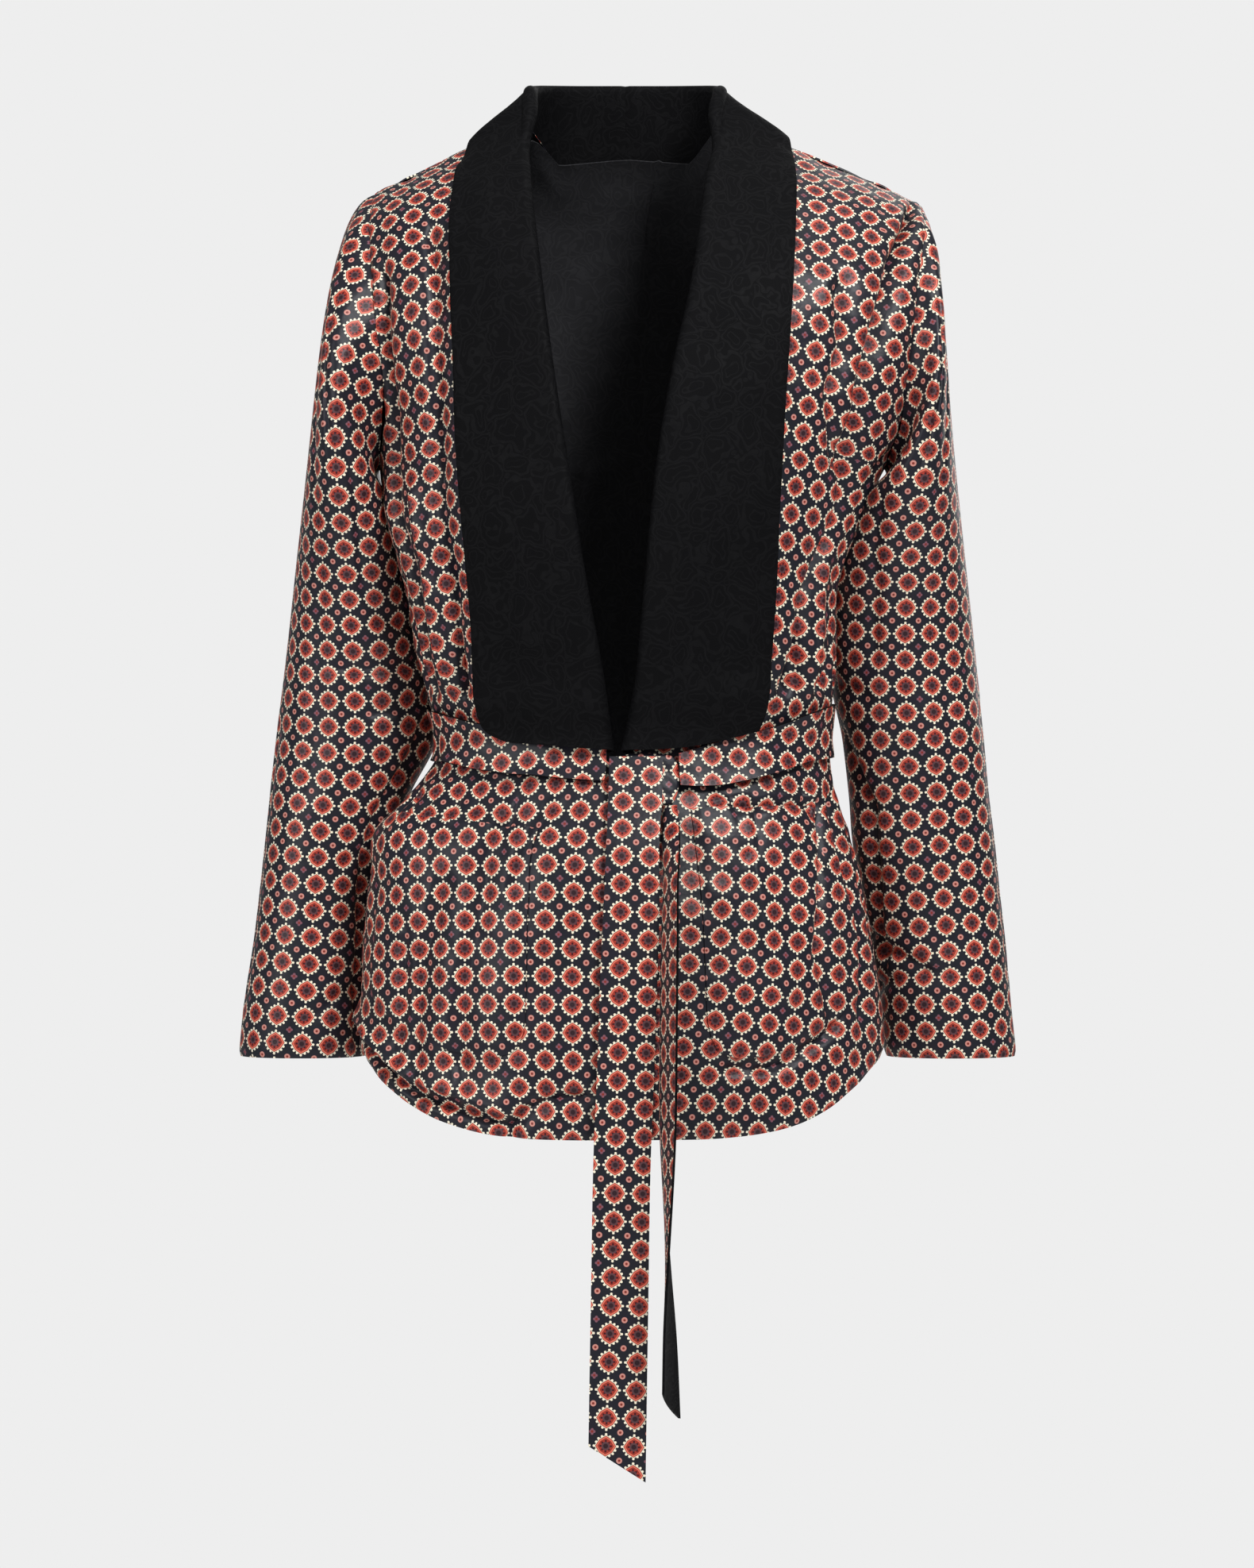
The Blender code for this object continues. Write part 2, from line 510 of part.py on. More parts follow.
def sleeve(side):
    """Place of a point of a sleeve, from the cuff to the armhole, starting at its under seam."""
    cuff = SLEEVES[side]["z"][0]
    loop, reach_round = armhole_loop(side)

    def place(across, up):
        spot = np.mod(0.5 - side * across, 1.0) * (len(loop) - 1)
        number = np.arange(len(loop))
        share = np.interp(spot, number, reach_round)
        round_turn = share * 360
        lower = up <= SLEEVE_LENGTH_SHARE
        height = cuff + np.clip(up / SLEEVE_LENGTH_SHARE, 0, 1) * (FIRST_SLEEVE_RING - cuff)
        ring = sleeve_ring(side, round_turn, height)
        middle = sleeve_ring(side, round_turn + 90, height) + sleeve_ring(side, round_turn - 90, height)
        out = ring - middle / 2
        out = out / np.linalg.norm(out, axis=-1, keepdims=True)
        tube = ring + out * sleeve_folds(round_turn, height)[..., None]

        frame = np.stack([np.interp(spot, number, loop[:, axis]) for axis in range(9)], axis=-1)
        edge = frame[:, :3]
        past = frame[:, 3:6] / np.linalg.norm(frame[:, 3:6], axis=-1, keepdims=True)
        out_of_panel = frame[:, 6:] / np.linalg.norm(frame[:, 6:], axis=-1, keepdims=True)
        low = (1 - np.cos(share * 2 * np.pi)) / 2
        away = np.stack([side * (1 - 0.55 * low), -0.25 * np.sin(share * 2 * np.pi), -(0.25 + 0.45 * low)], axis=-1)
        away = away / np.linalg.norm(away, axis=-1, keepdims=True)
        foot = sleeve_ring(side, round_turn, np.full(np.shape(up), FIRST_SLEEVE_RING))
        below = sleeve_ring(side, round_turn, np.full(np.shape(up), FIRST_SLEEVE_RING - 0.03))
        rise = foot - below
        rise = rise / np.linalg.norm(rise, axis=-1, keepdims=True)
        reach = np.linalg.norm(foot - edge, axis=-1, keepdims=True)
        part = np.clip((up - SLEEVE_LENGTH_SHARE) / (1 - SLEEVE_LENGTH_SHARE), 0, 1)[..., None]
        back = 1 - part
        fullness = CAP_FULLNESS[side] + (ARMPIT_FULLNESS - CAP_FULLNESS[side]) * low[..., None]
        start = foot + rise * reach * (0.57 - 0.15 * low[..., None])
        last = 1 - 1 / CAP_CELLS
        chord = ((1 - last) ** 3 * foot + 3 * (1 - last) ** 2 * last * start
                 + 3 * (1 - last) * last ** 2 * (edge + away * reach * fullness) + last ** 3 * edge) - edge
        chord = chord / np.linalg.norm(chord, axis=-1, keepdims=True)
        onward = np.sum(chord * past, axis=-1)
        outward = np.sum(chord * out_of_panel, axis=-1)
        half = PANEL_WALL / 2
        clear = SEAM + half * np.sqrt(1 - np.minimum(onward ** 2, 1))
        turned_back = fade(-onward, -0.02, 0.25)
        bent = (half + (SEAM + half) * (1 - outward) / np.maximum(-onward, 0.25) + half) * turned_back
        edge = edge + past * (clear + SEAM * (1 + turned_back))[..., None] + out_of_panel * bent[..., None]
        cap = (back ** 3 * foot + 3 * back ** 2 * part * start
               + 3 * back * part ** 2 * (edge + away * reach * fullness) + part ** 3 * edge)
        foot_out = foot - (sleeve_ring(side, round_turn + 90, foot[..., 2])
                           + sleeve_ring(side, round_turn - 90, foot[..., 2])) / 2
        foot_out = foot_out / np.linalg.norm(foot_out, axis=-1, keepdims=True)
        cap = cap + foot_out * (sleeve_folds(round_turn, cap[..., 2]) * (1 - part[..., 0]) ** 0.5)[..., None]
        return np.where(lower[..., None], tube, cap)
    return place


# Shawl collar: one half is a stand inside the neck, a roll, and a leaf that widens into the lapel

STAND_CELLS = 3
ROLL_CELLS = 4
LEAF_CELLS = 6
COLLAR_CELLS = STAND_CELLS + ROLL_CELLS + LEAF_CELLS
INNER_SHARE = STAND_CELLS / COLLAR_CELLS
ARC_SHARE = ROLL_CELLS / COLLAR_CELLS


def mix(start, end, part):
    """The point a given part of the way from start to end."""
    return start + (end - start) * part[..., None]


def neck_section(side, row, across):
    """One section of the collar at the neck: up the stand, over the roll and down the leaf."""
    station = {name: column[row] for name, column in NECK_STATIONS.items()}
    radius = (LAPEL_RISE + FACING_SINK) / 2
    foot_turn = turn_of(np.array(side * station["foot_x"]), neck_level(station["foot_x"]))
    inner = form(180 - foot_turn, neck_level(station["foot_x"])) + np.array([0, 0, FOOT_LIFT])
    if not station["behind"]:
        edge_x = front_edge(side, np.array(station["level"]))
        inner = form(turn_of(edge_x, station["level"]), station["level"]) - np.array([side * FOOT_INSET, 0, 0])
    roll_x = station["right_roll"] if side == RIGHT else station["left_roll"]
    middle = np.array([side * roll_x, station["roll_y"], station["roll_z"]])
    reach_x = station["right_x"] if side == RIGHT else station["left_x"]
    turn = turn_of(np.array(side * reach_x), station["level"])
    turn = 180 - turn if station["behind"] else turn
    outer = body(turn, station["level"], LAPEL_RISE)
    if station["level"] == SHOULDER_LEVEL:
        outer = form(turn, station["level"]) + np.array([0, 0, LAPEL_RISE * 1.4])
    lean = np.radians(station["lean"])
    out = outer - inner
    out[2] = 0
    out = out / np.linalg.norm(out)
    tip = np.array([0, -np.sin(lean), np.cos(lean)])
    tip = tip - out * np.dot(tip, out)
    tip = tip / np.linalg.norm(tip)
    stand = np.clip(across / INNER_SHARE, 0, 1)
    arc = np.clip((across - INNER_SHARE) / ARC_SHARE, 0, 1) * np.pi
    leaf = np.clip((across - INNER_SHARE - ARC_SHARE) / (1 - INNER_SHARE - ARC_SHARE), 0, 1)
    start = middle - out * radius
    end = middle + out * radius
    reach = np.linalg.norm(outer - end)
    knee = outer + facing(turn, station["level"]) * 0.004 + (end - outer) * 0.30
    back = (1 - leaf)[..., None]
    part = leaf[..., None]
    fall = (back ** 3 * end + 3 * back ** 2 * part * (end - tip * reach * 0.30 + out * 0.004)
            + 3 * back * part ** 2 * knee + part ** 3 * outer)
    roll = middle - out * (radius * np.cos(arc))[..., None] + tip * (radius * np.sin(arc))[..., None]
    rise = mix(inner, start, stand)
    return np.where((across < INNER_SHARE)[..., None], rise,
                    np.where((across < INNER_SHARE + ARC_SHARE)[..., None], roll, fall))


def lapel_section(side, level, across):
    """One section of the lapel: the facing inside the front, the roll round its edge and the leaf outside."""
    source = LAPEL_STATIONS[side]
    station = {name: float(read(source, "roll_level", name, np.array(level))) for name in source}
    rise = lapel_rise(level)
    radius = roll_radius(level)
    centre_x = station["roll_x"] + side * (radius + COLLAR_WALL / 2)
    stand = np.clip(across / INNER_SHARE, 0, 1)
    arc = np.clip((across - INNER_SHARE) / ARC_SHARE, 0, 1) * np.pi
    leaf = np.clip((across - INNER_SHARE - ARC_SHARE) / (1 - INNER_SHARE - ARC_SHARE), 0, 1)
    width = float(read(FACING_WIDTHS, "level", "width", np.array(level)))
    inside_turn = turn_of(centre_x + side * width * (1 - stand), np.full(stand.shape, level))
    inside = body(inside_turn, level, lap(side, inside_turn) - FACING_SINK)
    leaf_level = level + (station["outer_level"] - level) * leaf - station["sag"] * np.sin(np.pi * leaf)
    leaf_turn = turn_of(centre_x + (station["outer_x"] - centre_x) * leaf, leaf_level)
    outside = body(leaf_turn, leaf_level, lap(side, leaf_turn) + rise)
    edge_turn = turn_of(np.array(centre_x), np.array(level))
    start = body(edge_turn, level, lap(side, edge_turn) - FACING_SINK)
    end = body(edge_turn, level, lap(side, edge_turn) + rise)
    middle = (start + end) / 2
    out = (end - start) / (2 * radius)
    tip = np.cross(out, np.array([0.0, 0.0, 1.0])) * side
    tip = tip / np.linalg.norm(tip)
    roll = middle - out * (radius * np.cos(arc))[..., None] + tip * (radius * np.sin(arc))[..., None]
    return np.where((across < INNER_SHARE)[..., None], inside,
                    np.where((across < INNER_SHARE + ARC_SHARE)[..., None], roll, outside))


def collar_half(side):
    """Place of a point of half the collar; along runs from centre back to the lapel's end."""
    def place(along, across):
        if side == RIGHT:
            along = 1 - along
        ways, way = np.unique(np.round(across, 6), return_inverse=True)
        sections = [neck_section(side, row, ways) for row in range(len(NECK_STATIONS["lean"]))]
        sections += [lapel_section(side, level, ways) for level in LAPEL_RINGS]
        sections = np.array(sections)
        sections[0, :, 0] = side * HALF_SEAM
        row = np.rint(along * (len(sections) - 1)).astype(int)
        return sections[row, way]
    return place


# Pockets

POCKETS = {
    RIGHT: {"turn_a": -72.0, "turn_b": -20.0, "top_a": -0.4975, "top_b": -0.4985, "bottom": -0.664,
            "rise": 0.0031},
    LEFT: {"turn_a": 17.0, "turn_b": 59.0, "top_a": -0.4835, "top_b": -0.4865, "bottom": -0.662,
           "rise": 0.0023},
}
POCKET_CORNER = 0.20


def pocket(side):
    """Place of a point of a patch pocket with rounded lower corners, its mouth a little open."""
    size = POCKETS[side]

    def place(across, up):
        low = np.clip(1 - up / POCKET_CORNER, 0, 1)
        pull = 1 - 0.17 * (1 - np.sqrt(1 - np.minimum(low, 0.999) ** 2))
        corner = np.abs(across * 2 - 1) ** 6
        turn = size["turn_a"] + (0.5 + (across - 0.5) * pull) * (size["turn_b"] - size["turn_a"])
        top = size["top_a"] + (size["top_b"] - size["top_a"]) * across
        level = size["bottom"] + up * (top - size["bottom"]) + 0.006 * corner * low
        gape = POCKET_GAPE * fade(up, 0.6, 1.0) * np.sin(np.pi * across)
        return body(turn, level, lap(side, turn) + size["rise"] + gape)
    return place


# Belt

BELT = table(("turn", "middle", "half_height"), [
    (-7.0, -0.4560, 0.0095),
    (14.0, -0.4500, 0.0150),
    (24.0, -0.4440, 0.0198),
    (48.0, -0.4390, 0.0200),
    (66.0, -0.4333, 0.0200),
    (90.0, -0.4315, 0.0200),
    (180.0, -0.4290, 0.0200),
    (265.0, -0.4270, 0.0200),
    (285.0, -0.4290, 0.0200),
    (302.0, -0.4325, 0.0198),
    (316.0, -0.4420, 0.0195),
    (330.0, -0.4505, 0.0180),
    (341.0, -0.4560, 0.0142),
    (345.5, -0.4572, 0.0118),
])
BELT_START = 5.5


def belt_wrap(across, up):
    """The belt round the waist, from the knot by the right side and the back to the knot again."""
    run = BELT_START + (1 - across) * (345.5 - BELT_START)
    level = read(BELT, "turn", "middle", run) + (up * 2 - 1) * read(BELT, "turn", "half_height", run)
    turn = -run
    return body(turn, level, BELT_RISE)


KNOT = {"left": -0.0105, "right": 0.0365, "top": -0.4450, "bottom": -0.4830, "inside": 0.0043, "outside": 0.0088}


def belt_knot(finish):
    """The half knot: a flattened roll of belt with soft creases, lying on the lapped fronts."""
    bpy.ops.mesh.primitive_cube_add(size=2)
    piece = bpy.context.object
    piece.name = "belt_knot"
    piece.data.name = "belt_knot"
    work = bmesh.new()
    work.from_mesh(piece.data)
    bmesh.ops.subdivide_edges(work, edges=work.edges, cuts=3, use_grid_fill=True)
    for point in work.verts:
        across, depth, up = point.co
        round_off = 1 - 0.16 * across * across * up * up
        crease = 1 - 0.16 * np.cos(across * 7.0) * (1 - abs(up))
        x = (KNOT["left"] + KNOT["right"]) / 2 + across * round_off * (KNOT["right"] - KNOT["left"]) / 2
        level = (KNOT["top"] + KNOT["bottom"]) / 2 + up * round_off * (KNOT["top"] - KNOT["bottom"]) / 2
        thick = (KNOT["outside"] - KNOT["inside"]) * crease * (1 - 0.35 * up * up) * (1 - 0.2 * across * across)
        rise = KNOT["inside"] + thick * (1 - depth) / 2
        point.co = body(turn_of(np.array(x), level), level, rise)
    work.to_mesh(piece.data)
    work.free()
    piece.data.shade_smooth()
    piece.data.materials.append(finish)
    collection.objects.link(piece)
    for other in list(piece.users_collection):
        if other is not collection:
            other.objects.unlink(piece)


TAILS = {
    "belt_tail_broad": table(("z", "x", "y", "half_width", "turn"), [
        (-0.9420, -0.0058, -0.1440, 0.0200, 0.0),
        (-0.8300, -0.0040, -0.1445, 0.0200, 1.0),
        (-0.7150, -0.0018, -0.1445, 0.0200, 0.0),
        (-0.6600, 0.0006, -0.1435, 0.0200, -1.0),
        (-0.6000, 0.0025, -0.1415, 0.0200, 0.0),
        (-0.5500, 0.0044, -0.1375, 0.0196, 0.0),
        (-0.5050, 0.0054, -0.1310, 0.0186, 0.0),
        (-0.4700, 0.0072, -0.1193, 0.0190, 0.0),
        (-0.4462, 0.0076, -0.1130, 0.0188, 0.0)]),
    "belt_tail_narrow": table(("z", "x", "y", "half_width", "turn"), [
        (-0.9000, 0.0322, -0.1550, 0.0200, 107.0),
        (-0.8500, 0.0314, -0.1570, 0.0200, 102.0),
        (-0.8000, 0.0306, -0.1585, 0.0200, 92.0),
        (-0.7110, 0.0298, -0.1595, 0.0200, 76.0),
        (-0.6300, 0.0304, -0.1590, 0.0195, 74.0),
        (-0.5700, 0.0312, -0.1545, 0.0180, 73.0),
        (-0.5250, 0.0322, -0.1460, 0.0145, 70.0),
        (-0.4808, 0.0320, -0.1197, 0.0058, 38.0)]),
}
TAIL_END_SLANT = {"belt_tail_broad": 0.0127, "belt_tail_narrow": -0.0110}
TAIL_CUP = {"belt_tail_broad": 0.0006, "belt_tail_narrow": 0.0020}


def belt_tail(name):
    """Place of a point of a hanging end of the belt, cut off at a slant."""
    source = TAILS[name]
    end = source["z"][0]
    start = source["z"][-1]

    def place(across, up):
        way = across * 2 - 1
        height = end + up * (start - end)
        turn = np.radians(read(source, "z", "turn", height))
        half = read(source, "z", "half_width", height)
        slant = -TAIL_END_SLANT[name] * way * (1 - up) ** 3
        cup = TAIL_CUP[name] * (1 - way * way)
        x = read(source, "z", "x", height) + way * half * np.cos(turn) - cup * np.sin(turn)
        y = read(source, "z", "y", height) - way * half * np.sin(turn) - cup * np.cos(turn)
        return np.stack([x, y, height + slant], axis=-1)
    return place


# The jacket

for leftover in list(bpy.data.objects):
    bpy.data.objects.remove(leftover)

collection = bpy.data.collections.new("smoking_jacket")
bpy.context.scene.collection.children.link(collection)

printed = material("printed_satin", (0.19, 0.09, 0.075), 0.42)
collar_black = material("black_jacquard", (0.012, 0.012, 0.013), 0.6)
lining_black = material("black_lining", (0.014, 0.014, 0.015), 0.55)
belt_print = material("belt_satin", (0.20, 0.09, 0.075), 0.42)
pocket_print = material("pocket_satin", (0.20, 0.095, 0.08), 0.42)

RING_CELLS = len(RINGS) - 1
SLEEVE_CELLS = 2 * len(ARMHOLE_RINGS) - 2
COLLAR_LENGTH_CELLS = len(NECK_STATIONS["lean"]) + len(LAPEL_RINGS) - 1

sheet("front_right", front_panel(RIGHT), (16, RING_CELLS), PANEL_WALL, printed)
sheet("front_left", front_panel(LEFT), (16, RING_CELLS), PANEL_WALL, printed)
sheet("back", back_panel(RINGS), (28, RING_CELLS), PANEL_WALL, printed)
sheet("back_lining", back_panel(LINING_RINGS, -LINING_SINK, LINING_DROP, 0.93), (22, len(LINING_RINGS) - 1), LINING_WALL, lining_black)
sheet("sleeve_right", sleeve(RIGHT), (SLEEVE_CELLS, SLEEVE_RINGS), PANEL_WALL, printed, closed=True)
sheet("sleeve_left", sleeve(LEFT), (SLEEVE_CELLS, SLEEVE_RINGS), PANEL_WALL, printed, closed=True)
sheet("collar_right", collar_half(RIGHT), (COLLAR_LENGTH_CELLS, COLLAR_CELLS), COLLAR_WALL, collar_black)
sheet("collar_left", collar_half(LEFT), (COLLAR_LENGTH_CELLS, COLLAR_CELLS), COLLAR_WALL, collar_black)
sheet("pocket_right", pocket(RIGHT), (10, 10), POCKET_WALL, pocket_print)
sheet("pocket_left", pocket(LEFT), (9, 10), POCKET_WALL, pocket_print)
sheet("belt_wrap", belt_wrap, (60, 2), BELT_WALL, belt_print)
belt_knot(belt_print)
sheet("belt_tail_broad", belt_tail("belt_tail_broad"), (3, 24), BELT_WALL, belt_print)
sheet("belt_tail_narrow", belt_tail("belt_tail_narrow"), (4, 26), BELT_WALL, belt_print)
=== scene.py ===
"""Looks of a printed satin smoking jacket with a black shawl collar, worn and tied, open and hollow.

Metres, +Z up, the front faces -Y. The origin is the middle of the neck, level with its side.
A place on the jacket is given by its turn round the body in degrees (0 is centre front,
90 the left side seam, 180 centre back, 270 or -90 the right side seam) and by its level,
which is the height that its ring of cloth has at centre front.
"""

import bmesh
import bpy
import numpy as np
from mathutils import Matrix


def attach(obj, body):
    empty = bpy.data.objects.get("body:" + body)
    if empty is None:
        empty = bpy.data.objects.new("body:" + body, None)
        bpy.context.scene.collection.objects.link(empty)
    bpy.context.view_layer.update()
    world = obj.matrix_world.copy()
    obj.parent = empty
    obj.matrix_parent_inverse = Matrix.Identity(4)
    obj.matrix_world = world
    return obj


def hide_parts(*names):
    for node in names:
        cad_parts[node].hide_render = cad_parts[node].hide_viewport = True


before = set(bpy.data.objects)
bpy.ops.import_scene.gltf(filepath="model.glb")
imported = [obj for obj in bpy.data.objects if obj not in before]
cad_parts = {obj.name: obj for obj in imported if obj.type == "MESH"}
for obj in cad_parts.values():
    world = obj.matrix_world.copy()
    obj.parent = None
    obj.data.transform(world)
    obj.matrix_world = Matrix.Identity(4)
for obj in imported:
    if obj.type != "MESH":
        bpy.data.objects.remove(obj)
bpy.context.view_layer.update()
bpy.ops.object.select_all(action="DESELECT")

# Camera and studio

CAMERA_PLACE = (0.0012, -3.5, -0.4655)
CAMERA_LENS = 110.0
FLOOR_LEVEL = -1.50
FLOOR_REACH = 2.6
FLOOR_SIDES = 96
FLOOR_PAINT = (0.86, 0.86, 0.86)
FLOOR_ROUGHNESS = 0.9

camera = bpy.data.objects.new("studio_camera", bpy.data.cameras.new("studio_camera"))
camera.data.lens = CAMERA_LENS
camera.location = CAMERA_PLACE
camera.rotation_euler = (np.pi / 2, 0, 0)
bpy.context.scene.collection.objects.link(camera)
bpy.context.scene.camera = camera

LIGHTS = [
    # name, place, aim, size, watts
    ("key", (1.2, -2.3, 1.5), (0.0, 0.0, -0.35), 0.7, 68.0),
    ("fill", (-2.3, -2.1, 0.3), (0.0, 0.0, -0.40), 1.6, 33.0),
    ("top", (0.3, -0.2, 2.0), (0.0, 0.0, -0.30), 1.4, 12.0),
    ("back", (1.0, 2.6, 0.8), (0.0, 0.0, -0.40), 2.6, 24.0),
]
WORLD_LIGHT = 0.24
BACKDROP_LIGHT = 0.855


def aim(thing, target):
    """Turn a light or camera towards a place."""
    away = np.array(target) - np.array(thing.location)
    flat = np.hypot(away[0], away[1])
    thing.rotation_euler = (np.arctan2(flat, -away[2]), 0, np.arctan2(away[1], away[0]) - np.pi / 2)


for light_name, place, target, size, watts in LIGHTS:
    lamp = bpy.data.lights.new(light_name, "AREA")
    lamp.size = size
    lamp.energy = watts
    light = bpy.data.objects.new(light_name, lamp)
    light.location = place
    aim(light, target)
    bpy.context.scene.collection.objects.link(light)

world = bpy.data.worlds.new("studio")
world.use_nodes = True
sky = world.node_tree.nodes["Background"]
sky.inputs["Color"].default_value = (1.0, 1.0, 1.0, 1.0)
seen = world.node_tree.nodes.new("ShaderNodeLightPath")
share = world.node_tree.nodes.new("ShaderNodeMath")
share.operation = "MULTIPLY_ADD"
share.inputs[1].default_value = BACKDROP_LIGHT - WORLD_LIGHT
share.inputs[2].default_value = WORLD_LIGHT
world.node_tree.links.new(seen.outputs["Is Camera Ray"], share.inputs[0])
world.node_tree.links.new(share.outputs[0], sky.inputs["Strength"])
bpy.context.scene.world = world
bpy.context.scene.view_settings.view_transform = "Standard"

# Thickness of each cloth, and the seams between panels
PANEL_WALL = 0.0013
COLLAR_WALL = 0.0018
BELT_WALL = 0.0018
POCKET_WALL = 0.0011
LINING_WALL = 0.0010
HALF_SEAM = 0.0001
SEAM = 0.0001
SEAM_TURN = 0.001
SEAM_DIP = 0.0011
SEAM_REACH = 0.0060

# How far each layer lies outside the body's form
LAP_RISE = 0.0030
BELT_RISE = 0.0078
BELT_RISE_BEHIND = 0.0030
BELT_SETTLES = (55, 84)
LINING_SINK = 0.0050
POCKET_GAPE = 0.0018
LAPEL_RISE = 0.0046
LAPEL_RISE_OVER_BELT = 0.0128
FACING_SINK = 0.0044

# Where a layer starts to lie further out, as levels or turns
LAPEL_CLEARS_BELT = (0.375, 0.425)
NECK_CLEARS = (-0.040, -0.005)
LAP_TURNS = (-34, -17)
EDGE_BLEND = (0.012, 0.002)

# The panels' limits
ARMPIT_LEVEL = -0.235
SHOULDER_LEVEL = 0.0382
SIDE_SEAM_TURN = 90.0
BACK_STARTS_TURN = -95
LEFT_SHOULDER_DROP = 1.10

# The back's top edge at the neck, and the lining behind it
NECK_SEAM_LEVEL = -0.0045
NECK_HALF_WIDTH = 0.072
NECK_SLOPE = 0.16
NECK_RISE = (0.84, 1.0)
LINING_SHARE = 0.93
LINING_DROP = 0.006
LINING_TURN_OUT = (0.955, 1.0)
NECK_SHARE = (0.190, 0.212)
LINING_OVERLAP = 0.0048
LINING_COVER = 0.0014
LINING_SEAM = 0.0016
LINING_SEAM_SHARE = 0.010

RIGHT = -1
LEFT = 1


def table(names, rows):
    """Name the columns of a short table."""
    return dict(zip(names, np.array(rows, dtype=float).T))


def between(values, slopes, low, part, span):
    """The smooth curve through a row of values, a part of the way on from the value at low."""
    square = part * part
    cube = square * part
    return ((2 * cube - 3 * square + 1) * values[low]
            + (cube - 2 * square + part) * span * slopes[low]
            + (3 * square - 2 * cube) * values[low + 1]
            + (cube - square) * span * slopes[low + 1])


def read(source, key, column, at):
    """Read a column of a table smoothly between its rows."""
    knots = source[key]
    values = source[column]
    at = np.clip(at, knots[0], knots[-1])
    low = np.clip(np.searchsorted(knots, at, side="right") - 1, 0, len(knots) - 2)
    span = knots[low + 1] - knots[low]
    return between(values, np.gradient(values, knots), low, (at - knots[low]) / span, span)


def unit(way):
    """Directions, each with the length 1."""
    return way / np.linalg.norm(way, axis=-1, keepdims=True)


def bezier(start, leave, arrive, end, part):
    """A curve from start to end, drawn towards two handles."""
    back = 1 - part
    return (back ** 3 * start + 3 * back ** 2 * part * leave
            + 3 * back * part ** 2 * arrive + part ** 3 * end)


FORM = table(
    ("level", "right_width", "left_width", "widest_y", "front_y", "back_y",
     "side_lift", "lift_power", "square"),
    [
        (-0.7160, 0.1920, 0.1870, -0.026, -0.1300, 0.1260, 0.058, 4.20, 2.15),
        (-0.6600, 0.1910, 0.1835, -0.027, -0.1320, 0.1280, 0.048, 3.70, 2.15),
        (-0.6000, 0.1880, 0.1770, -0.028, -0.1315, 0.1270, 0.034, 3.00, 2.15),
        (-0.5500, 0.1840, 0.1690, -0.028, -0.1280, 0.1230, 0.022, 2.40, 2.15),
        (-0.5100, 0.1805, 0.1600, -0.027, -0.1210, 0.1160, 0.013, 2.00, 2.10),
        (-0.4800, 0.1560, 0.1520, -0.028, -0.1125, 0.1080, 0.007, 2.00, 2.05),
        (-0.4550, 0.1385, 0.1480, -0.027, -0.1045, 0.1025, 0.002, 2.00, 2.00),
        (-0.4300, 0.1345, 0.1465, -0.027, -0.1020, 0.1015, 0.000, 2.00, 2.00),
        (-0.4050, 0.1415, 0.1500, -0.028, -0.1120, 0.1045, 0.000, 2.00, 2.05),
        (-0.3700, 0.1505, 0.1530, -0.028, -0.1250, 0.1110, 0.000, 2.00, 2.10),
        (-0.3200, 0.1600, 0.1540, -0.025, -0.1350, 0.1210, 0.000, 1.80, 2.15),
        (-0.2700, 0.1745, 0.1720, -0.014, -0.1400, 0.1280, 0.000, 1.60, 2.20),
        (-0.2350, 0.1785, 0.1890, -0.002, -0.1400, 0.1305, 0.000, 1.50, 2.20),
        (-0.2000, 0.1840, 0.2090, 0.001, -0.1380, 0.1310, -0.002, 1.45, 2.20),
        (-0.1500, 0.1950, 0.2240, 0.002, -0.1300, 0.1280, -0.008, 1.40, 2.30),
        (-0.1000, 0.1985, 0.2300, 0.003, -0.1150, 0.1190, -0.020, 1.35, 2.60),
        (-0.0500, 0.2000, 0.2315, 0.004, -0.0850, 0.1010, -0.036, 1.30, 3.00),
        (0.0000, 0.1955, 0.2285, 0.005, -0.0430, 0.0660, -0.056, 1.25, 4.00),
        (0.0385, 0.1900, 0.2230, 0.006, 0.0055, 0.0065, -0.0755, 1.25, 5.00),
    ])

ARMHOLE = table(
    ("level", "front_turn", "back_turn"),
    [
        (-0.2350, 90.0, 90.0),
        (-0.2321, 84.7, 95.5),
        (-0.2236, 79.0, 101.7),
        (-0.2100, 73.8, 107.3),
        (-0.1925, 69.6, 112.0),
        (-0.1720, 66.0, 115.5),
        (-0.1500, 64.0, 117.0),
        (-0.1000, 62.0, 118.0),
        (-0.0500, 62.5, 117.5),
        (0.0000, 64.0, 116.0),
        (0.0385, 66.0, 114.0),
    ])

SHOULDER_TURN = ARMHOLE["back_turn"][-1]

# Where each front ends below the lapels
LAPPED_EDGE = {
    RIGHT: table(("level", "x"), [
        (-0.716, 0.0160), (-0.600, 0.0150), (-0.510, 0.0110), (-0.475, 0.0030), (-0.4431, -0.0110)]),
    LEFT: table(("level", "x"), [
        (-0.716, -0.0360), (-0.600, -0.0340), (-0.510, -0.0280), (-0.475, -0.0140), (-0.4431, 0.0060)]),
}

